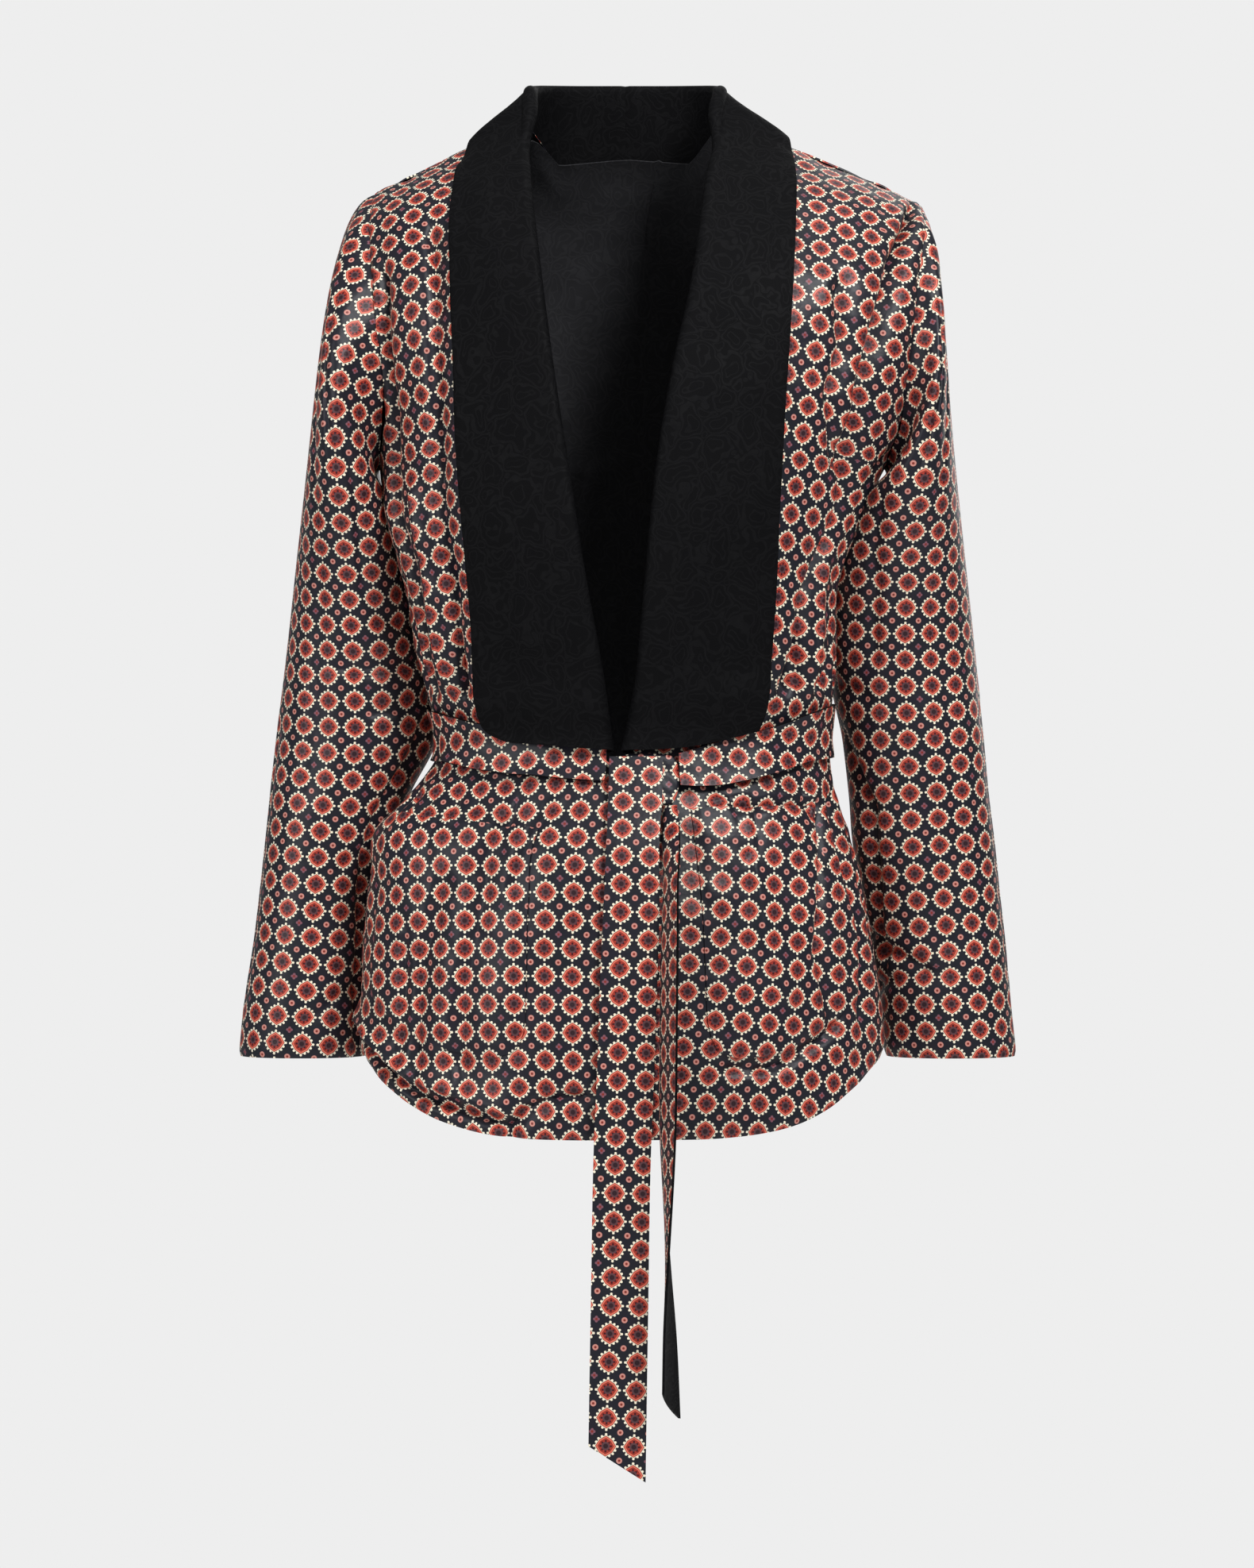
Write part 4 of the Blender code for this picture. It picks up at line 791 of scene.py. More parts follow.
# Heights of the figure, the threads and the crumple
HEIGHTS = (0.22, 0.05, 0.9)


def black_cloth(name, ground, threads, roughness, relief):
    """Black cloth with a woven figure of wandering linked rings in nearly the same black."""
    finish = Finish(name)
    across, along = finish.cloth_place()
    cells = [way / FIGURE_PITCH + finish.noise(scale, 2.0) * FIGURE_WANDER
             for way, scale in zip((across, along), BLACK_WANDER_SCALES)]
    x, y = [abs(cell.math("FRACT") - 0.5) * FIGURE_PITCH for cell in cells]
    reach = distance_to(x, y)
    corner = distance_to(x, y, (FIGURE_PITCH / 2, FIGURE_PITCH / 2))
    ring = abs(reach - FIGURE_RING).under(FIGURE_WIDTH, FIGURE_SOFTNESS)
    knot = abs(corner - FIGURE_KNOT[0]).under(FIGURE_KNOT[1], FIGURE_SOFTNESS)
    heart = abs(reach - FIGURE_HEART[0]).under(FIGURE_HEART[1], FIGURE_SOFTNESS)
    waver = finish.noise(BLACK_WAVER_SCALE, 2.0).math("MULTIPLY_ADD", *WAVER_STRETCH, clamp=True)
    figure = ring.math("MAXIMUM", knot).math("MAXIMUM", heart) * waver
    color = finish.blend(ground, threads, figure)
    dullness = roughness - figure * FIGURE_SHINES + finish.noise(BLACK_CLOUD_SCALE, WEAR_DETAIL) * CLOUD_DULLS
    finish.fill(finish.shader, {"Base Color": color, "Roughness": dullness,
                                "Specular IOR Level": BLACK_GLOSS})
    crumple = finish.noise(BLACK_CRUMPLE_SCALE, *CRUMPLE_DETAIL)
    height = figure * HEIGHTS[0] + finish.threads(BLACK_THREADS) * HEIGHTS[1] + crumple * HEIGHTS[2]
    finish.bump(height, BLACK_BUMP_STRENGTH, relief)
    return finish.material


# Cloth pieces

COARSE = 5
TURNS_OF_PIECES = 40
FINE_PASSES = 60
STRAIGHTEST = 5.0
FLATTEST = 0.05
OVERSHOOT = 1.6
TINY = 1e-9
MERGE_REACH = 0.00002
SHARP_ANGLE = 60


def relax(flat, place, passes):
    """Ease a flat layout of a sheet until its threads have the lengths that they have on the form."""
    pairs = []
    for down, over in ((0, 1), (1, 0), (1, 1), (1, -1)):
        rows, columns = place.shape[:2]
        first = (slice(0, rows - down), slice(max(0, -over), columns - max(0, over)))
        second = (slice(down, rows), slice(max(0, over), columns + min(0, over)))
        pairs.append((first, second, np.linalg.norm(place[second] - place[first], axis=-1)))
    for _ in range(passes):
        pull = np.zeros_like(flat)
        share = np.zeros(flat.shape[:2])
        for first, second, length in pairs:
            gap = flat[second] - flat[first]
            reach = np.linalg.norm(gap, axis=-1)
            shift = gap * ((reach - length) / np.maximum(reach, TINY) / 2)[..., None]
            pull[first] += shift
            pull[second] -= shift
            share[first] += 1
            share[second] += 1
        flat = flat + pull / share[..., None] * OVERSHOOT
    return flat


def thread_lengths(place, axis):
    """Length of every thread from its first point on, along one axis of a grid of places."""
    steps = np.linalg.norm(np.diff(place, axis=axis), axis=-1)
    start = np.zeros_like(steps.take([0], axis=axis))
    return np.concatenate([start, np.cumsum(steps, axis=axis)], axis=axis)


def unrolled(place, guess):
    """A coarse grid laid flat: its triangles only turned, as far as the sheet's form allows.

    The guess gives, for each point, the lengths of the threads that lead to it.
    """
    rows, columns = place.shape[:2]
    number = np.arange(rows * columns).reshape(rows, columns)
    corners = []
    for names in (((0, 0), (0, 1), (1, 0)), ((1, 1), (1, 0), (0, 1))):
        spots = [number[down:rows - 1 + down, over:columns - 1 + over].ravel() for down, over in names]
        corners.append(np.stack(spots, axis=-1))
    corners = np.concatenate(corners)
    place = place.reshape(-1, 3)
    flat = guess.reshape(-1, 2)
    over, up = [place[corners[:, side]] - place[corners[:, 0]] for side in (1, 2)]
    width = np.abs(flat[corners[:, 1], 0] - flat[corners[:, 0], 0])
    height = np.abs(flat[corners[:, 2], 1] - flat[corners[:, 0], 1])
    lean = np.sum(over * up, axis=-1) / np.linalg.norm(over, axis=-1) / np.linalg.norm(up, axis=-1)
    shape = np.zeros((len(corners), 3, 2))
    shape[:, 1, 0] = width
    shape[:, 2, 0] = height * lean
    shape[:, 2, 1] = height * np.sqrt(1 - lean * lean)
    pulls = []
    stiff = np.zeros((len(flat), len(flat)))
    for near, far, facing_corner in ((0, 1, 2), (1, 2, 0), (2, 0, 1)):
        one = shape[:, near] - shape[:, facing_corner]
        other = shape[:, far] - shape[:, facing_corner]
        weight = np.sum(one * other, axis=-1) / (one[:, 0] * other[:, 1] - one[:, 1] * other[:, 0])
        weight = np.clip(weight, FLATTEST, STRAIGHTEST)
        pulls.append((corners[:, near], corners[:, far], weight, shape[:, near] - shape[:, far]))
        for first, second in ((near, far), (far, near)):
            np.add.at(stiff, (corners[:, first], corners[:, first]), weight)
            np.add.at(stiff, (corners[:, first], corners[:, second]), -weight)
    stiff[0, 0] += 1
    answer = np.linalg.inv(stiff)
    for _ in range(TURNS_OF_PIECES):
        level = 0
        skew = 0
        for near, far, weight, edge in pulls:
            now = flat[near] - flat[far]
            level = level + weight * np.sum(edge * now, axis=-1)
            skew = skew + weight * (edge[:, 0] * now[:, 1] - edge[:, 1] * now[:, 0])
        size = np.maximum(np.hypot(level, skew), TINY ** 2)
        cosine, sine = level / size, skew / size
        wanted = np.zeros_like(flat)
        for near, far, weight, edge in pulls:
            turned = np.stack([cosine * edge[:, 0] - sine * edge[:, 1],
                               sine * edge[:, 0] + cosine * edge[:, 1]], axis=-1) * weight[:, None]
            np.add.at(wanted, near, turned)
            np.add.at(wanted, far, -turned)
        wanted[0] += flat[0]
        flat = answer @ wanted
    return flat.reshape(rows, columns, 2)


def turning(angle):
    """The matrix that turns a flat cut."""
    return np.array([[np.cos(angle), np.sin(angle)], [-np.sin(angle), np.cos(angle)]])


def lay_flat(place, grain):
    """The flat cut of a sheet from its places on the form; grain is the column that stays upright."""
    rows, columns = place.shape[:2]
    start = int(round(grain * (columns - 1)))
    across = thread_lengths(place, 1)
    along = thread_lengths(place, 0)
    guess = np.stack([across - across[:, start:start + 1], along], axis=-1)
    some_rows = np.unique(np.linspace(0, rows - 1, max(3, rows // COARSE)).round().astype(int))
    some_columns = np.unique(np.linspace(0, columns - 1, max(3, columns // COARSE)).round().astype(int))
    coarse = np.ix_(some_rows, some_columns)
    lengths = np.stack([across, along], axis=-1)
    change = unrolled(place[coarse], lengths[coarse]) - guess[coarse]
    wide = np.stack([[np.interp(np.arange(columns), some_columns, row[:, axis]) for row in change]
                     for axis in range(2)], axis=-1)
    full = np.stack([[np.interp(np.arange(rows), some_rows, wide[:, column, axis])
                      for column in range(columns)] for axis in range(2)], axis=-1).transpose(1, 0, 2)
    flat = relax(guess + full, place, FINE_PASSES)
    lean = flat[-1, start] - flat[0, start]
    return (flat - flat[0, start]) @ turning(np.arctan2(lean[0], lean[1]))


def medallion_at(place, flat, spot):
    """Slide a flat cut so that a medallion's middle lies where the camera sees it, given across and up."""
    camera_place = np.array(CAMERA_PLACE)
    away = place - camera_place
    seen = camera_place + away * (-camera_place[1] / away[..., 1:2])
    gap = np.hypot(seen[..., 0] - spot[0], seen[..., 2] - spot[1])
    gap = gap + np.maximum(place[..., 1] - np.median(place[..., 1]), 0)
    row, column = np.unravel_index(np.argmin(gap), gap.shape)
    return flat - flat[row, column] + PRINT_PITCH / 2


def print_below(place, flat, below, below_flat):
    """Turn and slide a flat cut so that its print meets the print of the cloth that it lies on."""
    some = place[::COARSE, ::COARSE].reshape(-1, 3)
    spots = below.reshape(-1, 3)
    nearest = [int(np.argmin(np.sum((spots - spot) ** 2, axis=1))) for spot in some]
    target = below_flat.reshape(-1, 2)[nearest]
    start = flat[::COARSE, ::COARSE].reshape(-1, 2)
    one = start - start.mean(axis=0)
    other = target - target.mean(axis=0)
    angle = np.arctan2(np.sum(one[:, 0] * other[:, 1] - one[:, 1] * other[:, 0]), np.sum(one * other))
    return (flat - start.mean(axis=0)) @ turning(angle) + target.mean(axis=0)


def flat_area(flat):
    """Area of a flat cut."""
    a = flat[1:, 1:] - flat[:-1, :-1]
    b = flat[1:, :-1] - flat[:-1, 1:]
    return float(np.abs(a[..., 0] * b[..., 1] - a[..., 1] * b[..., 0]).sum() / 2)


def vertex_places(mesh):
    """The places of a mesh's points."""
    places = np.empty(len(mesh.vertices) * 3)
    mesh.vertices.foreach_get("co", places)
    return places.reshape(-1, 3)


def map_cut(mesh, flat):
    """Keep the flat place of each point of a mesh as its map."""
    corners = np.empty(len(mesh.loops), dtype=int)
    mesh.loops.foreach_get("vertex_index", corners)
    cut_map = mesh.uv_layers.active
    cut_map.name = "cut"
    cut_map.data.foreach_set("uv", flat[corners].ravel())


def apply_all(piece):
    """Apply a piece's modifiers in their order, with nothing else selected."""
    bpy.ops.object.select_all(action="DESELECT")
    piece.select_set(True)
    bpy.context.view_layer.objects.active = piece
    for modifier in list(piece.modifiers):
        bpy.ops.object.modifier_apply(modifier=modifier.name)


def cloth(name, place, cells, wall, faces, grain=0.5, closed=False, medallion=None, below=None,
          rim=0, with_pieces=()):
    """A sheet of cloth: a fine grid shaped by place(across, up), with its flat cut as a map and a wall.

    Grain is the share of the width at which the threads stay upright. A medallion is put where
    the camera sees that spot, or the print goes on from that of the cloth below.
    """
    bpy.ops.mesh.primitive_grid_add(x_subdivisions=cells[0], y_subdivisions=cells[1], size=2)
    piece = bpy.context.object
    piece.name = name + "_cloth"
    mesh = piece.data
    mesh.name = piece.name
    start = vertex_places(mesh)[:, :2] / 2 + 0.5
    column = np.rint(start[:, 0] * cells[0]).astype(int)
    row = np.rint(start[:, 1] * cells[1]).astype(int)
    spots = np.asarray(place(start[:, 0], start[:, 1]), dtype=float)
    mesh.vertices.foreach_set("co", spots.ravel())
    grid = np.empty((cells[1] + 1, cells[0] + 1, 3))
    grid[row, column] = spots
    flat = lay_flat(grid, grain)
    if medallion:
        flat = medallion_at(grid, flat, medallion)
    if below:
        flat = print_below(grid, flat, *below)
    map_cut(mesh, flat[row, column])
    if closed:
        work = bmesh.new()
        work.from_mesh(mesh)
        bmesh.ops.remove_doubles(work, verts=work.verts, dist=MERGE_REACH)
        work.to_mesh(mesh)
        work.free()
    for finish in faces:
        mesh.materials.append(finish)
    shell = piece.modifiers.new("Wall", "SOLIDIFY")
    shell.thickness = wall
    shell.offset = 0
    shell.material_offset = 1
    shell.material_offset_rim = rim
    apply_all(piece)
    mesh.shade_smooth()
    mesh.set_sharp_from_angle(angle=np.radians(SHARP_ANGLE))
    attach(piece, "root")
    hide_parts(name)
    size = np.ptp(flat.reshape(-1, 2), axis=0)
    area = min(flat_area(flat), float(size[0] * size[1]))
    return grid, flat


# Body panels

def seam_dip(turn_from_seam, level):
    """How far cloth sinks towards the seam at a panel's outer edge, and towards the shoulder seam."""
    reach = np.radians(np.abs(turn_from_seam)) * FOLD_RADIUS
    return SEAM_DIP * (1 - fade(np.minimum(reach, SHOULDER_LEVEL - level), 0, SEAM_REACH))


def front_panel(side):
    """Place of a point of one front, from hem to shoulder."""
    def place(across, up):
        level = ring_level(up, RINGS)
        edge = turn_of(front_edge(side, level), level)
        outer = np.where(level > ARMPIT_LEVEL, read(ARMHOLE, "level", "front_turn", level), SIDE_SEAM_TURN)
        if side == RIGHT:
            turn = even_turn(-outer, edge, level, across)
        else:
            turn = even_turn(edge, outer, level, across)
        return body(turn, level, lap(side, turn) - seam_dip(outer - side * turn, level))
    return place


def neck_level(x):
    """The level of the back's top edge, which drops from the shoulder to the neck seam."""
    reach = np.minimum(np.abs(x) / NECK_HALF_WIDTH, 1)
    part = NECK_SLOPE * reach ** 2 + (1 - NECK_SLOPE) * fade(reach, *NECK_RISE)
    return NECK_SEAM_LEVEL + (SHOULDER_LEVEL - NECK_SEAM_LEVEL) * part


def back_panel(rings, rise=0.0, drop=0.0, share=1.0):
    """Place of a point of the back, or of a layer that lies on it; its top edge drops to the neck seam."""
    def place(across, up):
        middle = 0.5 + (across - 0.5) * share
        from_middle = np.abs(middle - 0.5)
        top_edge = fade(up, *LINING_TURN_OUT) * (1 - fade(from_middle, *NECK_SHARE))
        depth = rise * (1 - top_edge) - LINING_COVER * top_edge * (rise != 0)
        below = drop * (1 - top_edge) - (LINING_OVERLAP if drop else 0) * top_edge
        ring = ring_level(up, rings)
        outer = np.where(ring > ARMPIT_LEVEL, read(ARMHOLE, "level", "back_turn", ring), SIDE_SEAM_TURN)
        turn = even_turn(outer + SEAM_TURN, 360 - outer - SEAM_TURN, ring, middle)
        shoulder = np.full(len(ring), SHOULDER_LEVEL)
        top_turn = even_turn(SHOULDER_TURN, 360 - SHOULDER_TURN, shoulder, middle)
        top = neck_level(form(top_turn, shoulder)[:, 0]) - below
        part = np.clip((ring - ARMPIT_LEVEL) / (SHOULDER_LEVEL - ARMPIT_LEVEL), 0, 1)
        level = ring - (SHOULDER_LEVEL - top) * part ** 2
        from_seam = np.minimum(turn - outer, 360 - outer - turn)
        middle_seam = LINING_SEAM * (1 - fade(from_middle, 0, LINING_SEAM_SHARE)) * (rise != 0)
        return body(turn, level, depth + middle_seam - seam_dip(from_seam, np.minimum(ring, 0.0)))
    return place


# Sleeves

FIRST_SLEEVE_RING = -0.262
SLEEVES = {
    RIGHT: table(("z", "inner", "outer", "middle_y", "half_depth"), [
        (-0.665, 0.1905, 0.2840, 0.028, 0.0430),
        (-0.620, 0.1885, 0.2795, 0.029, 0.0440),
        (-0.580, 0.1860, 0.2735, 0.030, 0.0450),
        (-0.540, 0.1835, 0.2688, 0.031, 0.0455),
        (-0.505, 0.1740, 0.2650, 0.031, 0.0465),
        (-0.470, 0.1580, 0.2612, 0.030, 0.0480),
        (-0.430, 0.1385, 0.2565, 0.030, 0.0510),
        (-0.390, 0.1405, 0.2512, 0.029, 0.0545),
        (-0.345, 0.1500, 0.2458, 0.026, 0.0580),
        (-0.300, 0.1610, 0.2402, 0.017, 0.0640),
        (FIRST_SLEEVE_RING, 0.1700, 0.2350, 0.006, 0.0700)]),
    LEFT: table(("z", "inner", "outer", "middle_y", "half_depth"), [
        (-0.665, 0.1915, 0.2872, 0.026, 0.0430),
        (-0.625, 0.1875, 0.2830, 0.027, 0.0440),
        (-0.585, 0.1810, 0.2800, 0.028, 0.0450),
        (-0.545, 0.1745, 0.2755, 0.028, 0.0455),
        (-0.510, 0.1680, 0.2718, 0.026, 0.0465),
        (-0.473, 0.1650, 0.2672, 0.025, 0.0485),
        (-0.430, 0.1595, 0.2632, 0.024, 0.0510),
        (-0.390, 0.1515, 0.2590, 0.027, 0.0545),
        (-0.345, 0.1470, 0.2542, 0.026, 0.0580),
        (-0.300, 0.1520, 0.2486, 0.017, 0.0640),
        (FIRST_SLEEVE_RING, 0.1670, 0.2436, 0.006, 0.0700)]),
}
SLEEVE_SQUARE = 2.15
SLEEVE_LENGTH_SHARE = 0.625
CAP_FULLNESS = {RIGHT: 0.135, LEFT: 0.045}
ARMPIT_FULLNESS = 0.52
CAP_CELLS = 6
CAP_TUCK = 0.55
CAP_FORWARD = 0.25
CAP_DROP = (0.25, 0.45)
CAP_START = (0.57, 0.15)
CAP_FOLD_POWER = 0.5
TUBE_LOOK = 0.03
EDGE_STEP = 3.0
TURNED_BACK = (-0.02, 0.25)

# The sleeves' folds: half width, depth, and the places that the bottom runs through, as degrees round
# the sleeve and height, lengths in millimetres; 0 degrees is its outside, 90 its front, 180 its inside
SLEEVE_FOLDS = {
    RIGHT: [
        (9, -4, [(52, -115), (62, -175), (82, -235)]),
        (8, -3, [(30, -120), (34, -190), (52, -265)]),
        (7.5, -3.5, [(92, -205), (104, -262), (100, -325)]),
        (8, -6, [(84, -383), (124, -381), (166, -374)]),
        (6.5, -3.6, [(112, -346), (140, -353), (172, -352)]),
        (6.5, -3.6, [(104, -414), (134, -412), (164, -402)]),
        (8, -4.6, [(142, -425), (131, -490), (140, -560), (146, -650)]),
        (9, -2.6, [(62, -300), (58, -390), (66, -470)]),
        (7, -2.8, [(160, -500), (112, -522)]),
        (6.5, -3, [(165, -602), (120, -618), (88, -640)]),
        (8.5, -4, [(228, -300), (262, -322), (296, -350)]),
        (8, -4.8, [(208, -384), (250, -396), (306, -430)]),
        (6.5, -3, [(218, -428), (264, -446)]),
        (9, -3.6, [(300, -480), (290, -560), (296, -640)]),
        (8.5, -3, [(330, -180), (320, -270), (324, -370)]),
        (9.5, -2.2, [(12, -430), (4, -520), (8, -620)]),
    ],
    LEFT: [
        (7, -4.2, [(58, -120), (66, -180), (88, -240)]),
        (6, -3.2, [(28, -100), (36, -180), (58, -255)]),
        (7.5, -3.6, [(120, -260), (108, -320), (112, -372)]),
        (8.5, -6.5, [(166, -430), (150, -455), (134, -482), (138, -528), (147, -566), (146, -588)]),
        (6.5, -5, [(170, -574), (124, -590), (106, -598)]),
        (6, -4.4, [(172, -612), (130, -605), (92, -600)]),
        (9, -2.6, [(68, -330), (60, -420), (66, -520)]),
        (7, -3, [(168, -388), (128, -398)]),
        (9, -2.8, [(84, -470), (78, -540), (86, -580)]),
        (8.5, -4.2, [(224, -286), (258, -312), (300, -332)]),
        (8, -4.6, [(206, -400), (246, -410), (300, -438)]),
        (6.5, -3, [(214, -446), (258, -460)]),
        (9, -3.6, [(296, -490), (286, -570), (292, -650)]),
        (8.5, -3, [(334, -170), (324, -260), (328, -350)]),
        (9.5, -2.2, [(8, -410), (2, -500), (6, -600)]),
    ],
}
SLEEVE_RADIUS = 0.055


def armhole_loop(side):
    """The panels' edge round the armhole, at their own rings, from the shoulder by the front and back.

    Gives each place, the direction on past the panel's edge, the direction out of the panel,
    and how far round the loop it is.
    """
    levels = np.array(ARMHOLE_RINGS)
    halves = []
    for column, step in (("front_turn", -EDGE_STEP), ("back_turn", EDGE_STEP)):
        turns = side * read(ARMHOLE, "level", column, levels)
        edge = body(turns, levels, -SEAM_DIP)
        inner = body(turns + side * step, levels, -SEAM_DIP)
        out = facing(turns, levels)
        along = np.gradient(edge, axis=0)
        past = np.cross(along, out)
        past = past * np.sign(np.sum(past * (edge - inner), axis=-1, keepdims=True))
        past[-1] = (0, 0, 1)
        halves.append(np.concatenate([edge, unit(past), out], axis=-1))
    front, back = halves[0], halves[1][::-1]
    loop = np.concatenate([front, back[1:]])
    steps = np.linalg.norm(np.diff(loop[:, :3], axis=0), axis=1)
    half = len(levels) - 1
    reach = np.concatenate([np.cumsum(steps[:half]) / steps[:half].sum() / 2,
                            0.5 + np.cumsum(steps[half:]) / steps[half:].sum() / 2])
    return loop, np.concatenate([[0], reach])


def sleeve_ring(side, round_turn, height):
    """A place on the sleeve's tube below the armpit; round_turn 0 is its outside, 90 its front."""
    angle = np.radians(round_turn)
    source = SLEEVES[side]
    inner = read(source, "z", "inner", height)
    outer = read(source, "z", "outer", height)
    cosine = np.cos(angle)
    sine = np.sin(angle)
    rounding = 2 / SLEEVE_SQUARE
    x = (inner + outer) / 2 + (outer - inner) / 2 * np.sign(cosine) * np.abs(cosine) ** rounding
    y = (read(source, "z", "middle_y", height)
         - read(source, "z", "half_depth", height) * np.sign(sine) * np.abs(sine) ** rounding)
    return np.stack([side * x, y, height], axis=-1)


def out_of_tube(side, round_turn, ring):
    """The direction out of the sleeve's middle at each place of a ring."""
    height = ring[..., 2]
    across = sleeve_ring(side, round_turn + 90, height) + sleeve_ring(side, round_turn - 90, height)
    return unit(ring - across / 2)


def sleeve_folds(side, round_turn, height):
    """Depth of the sleeve's folds, with its cuff's edge turned in a little."""
    reach = np.radians(round_turn % 360) * SLEEVE_RADIUS
    depth = np.zeros(np.shape(height))
    for half_width, rise, path in SLEEVE_FOLDS[side]:
        path = unrolled_path(path, SLEEVE_RADIUS)
        depth = depth + trough(reach, height, path, half_width * MM, rise * MM)
    return depth - HEM_TURN * fade(SLEEVES[side]["z"][0] + HEM_REACH - height, 0, HEM_REACH)


def sleeve_cap(side, round_turn, share, part, edge, past, out_of_panel):
    """The sleeve's head, which bends from its tube up to the armhole and butts against the panels there."""
    low = (1 - np.cos(share * 2 * np.pi)) / 2
    away = unit(np.stack([side * (1 - CAP_TUCK * low), -CAP_FORWARD * np.sin(share * 2 * np.pi),
                          -(CAP_DROP[0] + CAP_DROP[1] * low)], axis=-1))
    first = np.full(np.shape(share), FIRST_SLEEVE_RING)
    foot = sleeve_ring(side, round_turn, first)
    rise = unit(foot - sleeve_ring(side, round_turn, first - TUBE_LOOK))
    low = low[..., None]
    reach = np.linalg.norm(foot - edge, axis=-1, keepdims=True)
    fullness = CAP_FULLNESS[side] + (ARMPIT_FULLNESS - CAP_FULLNESS[side]) * low
    start = foot + rise * reach * (CAP_START[0] - CAP_START[1] * low)
    chord = unit(bezier(foot, start, edge + away * reach * fullness, edge, 1 - 1 / CAP_CELLS) - edge)
    onward = np.sum(chord * past, axis=-1)
    outward = np.sum(chord * out_of_panel, axis=-1)
    half = PANEL_WALL / 2
    clear = SEAM + half * np.sqrt(1 - np.minimum(onward ** 2, 1))
    turned_back = fade(-onward, *TURNED_BACK)
    bent = (half + (SEAM + half) * (1 - outward) / np.maximum(-onward, TURNED_BACK[1]) + half) * turned_back
    edge = edge + past * (clear + SEAM * (1 + turned_back))[..., None] + out_of_panel * bent[..., None]
    cap = bezier(foot, start, edge + away * reach * fullness, edge, part[..., None])
    depth = sleeve_folds(side, round_turn, cap[..., 2]) * (1 - part) ** CAP_FOLD_POWER
    return cap + out_of_tube(side, round_turn, foot) * depth[..., None]


def sleeve(side):
    """Place of a point of a sleeve, from the cuff to the armhole, starting at its under seam."""
    cuff = SLEEVES[side]["z"][0]
    loop, reach_round = armhole_loop(side)

    def place(across, up):
        spot = np.mod(0.5 - side * across, 1.0) * (len(loop) - 1)
        number = np.arange(len(loop))
        share = np.interp(spot, number, reach_round)
        round_turn = share * 360
        height = cuff + np.clip(up / SLEEVE_LENGTH_SHARE, 0, 1) * (FIRST_SLEEVE_RING - cuff)
        ring = sleeve_ring(side, round_turn, height)
        depth = sleeve_folds(side, round_turn, height)
        tube = ring + out_of_tube(side, round_turn, ring) * depth[..., None]
        edge, past, out_of_panel = [
            np.stack([np.interp(spot, number, loop[:, axis]) for axis in range(first, first + 3)], axis=-1)
            for first in (0, 3, 6)]
        part = np.clip((up - SLEEVE_LENGTH_SHARE) / (1 - SLEEVE_LENGTH_SHARE), 0, 1)
        cap = sleeve_cap(side, round_turn, share, part, edge, unit(past), unit(out_of_panel))
        return np.where((up <= SLEEVE_LENGTH_SHARE)[..., None], tube, cap)
    return place


# Shawl collar: one half is a stand inside the neck, a roll, and a leaf that widens into the lapel

COLLAR_FOOT_SHARE = 0.30
COLLAR_FOOT_RISE = 0.003
COLLAR_DIP_SHARE = 0.05
SHOULDER_RISE_SHARE = 1.4
RIDGE_RISES = (0.90, 0.95)
RIDGE_FALLS = (0.97, 1.0)
RIDGE_FALL_SHARE = 0.8
BACK_SEAM_REACH = 0.0035
TOP_DIP_SHARE = 0.4
ROLL_DEPTH = 0.003
EDGE_RIDGE = 0.0007
STAND_CELLS = 3
ROLL_CELLS = 4
LEAF_CELLS = 6
COLLAR_CELLS = STAND_CELLS + ROLL_CELLS + LEAF_CELLS
INNER_SHARE = STAND_CELLS / COLLAR_CELLS
ARC_SHARE = ROLL_CELLS / COLLAR_CELLS


def section_parts(across):
    """How far a place lies up the stand, round the roll as an angle, and down the leaf."""
    stand = np.clip(across / INNER_SHARE, 0, 1)
    arc = np.clip((across - INNER_SHARE) / ARC_SHARE, 0, 1) * np.pi
    leaf = np.clip((across - INNER_SHARE - ARC_SHARE) / (1 - INNER_SHARE - ARC_SHARE), 0, 1)
    return stand, arc, leaf


def section_places(across, stand, roll, leaf):
    """Take each place of a section from its stand, its roll or its leaf.

    The roll is given by its middle, the directions out of it and over it, its radius and its angles.
    """
    middle, out, tip, radius, arc = roll
    over = middle - out * (radius * np.cos(arc))[..., None] + tip * (radius * np.sin(arc))[..., None]
    return np.where((across < INNER_SHARE)[..., None], stand,
                    np.where((across < INNER_SHARE + ARC_SHARE)[..., None], over, leaf))


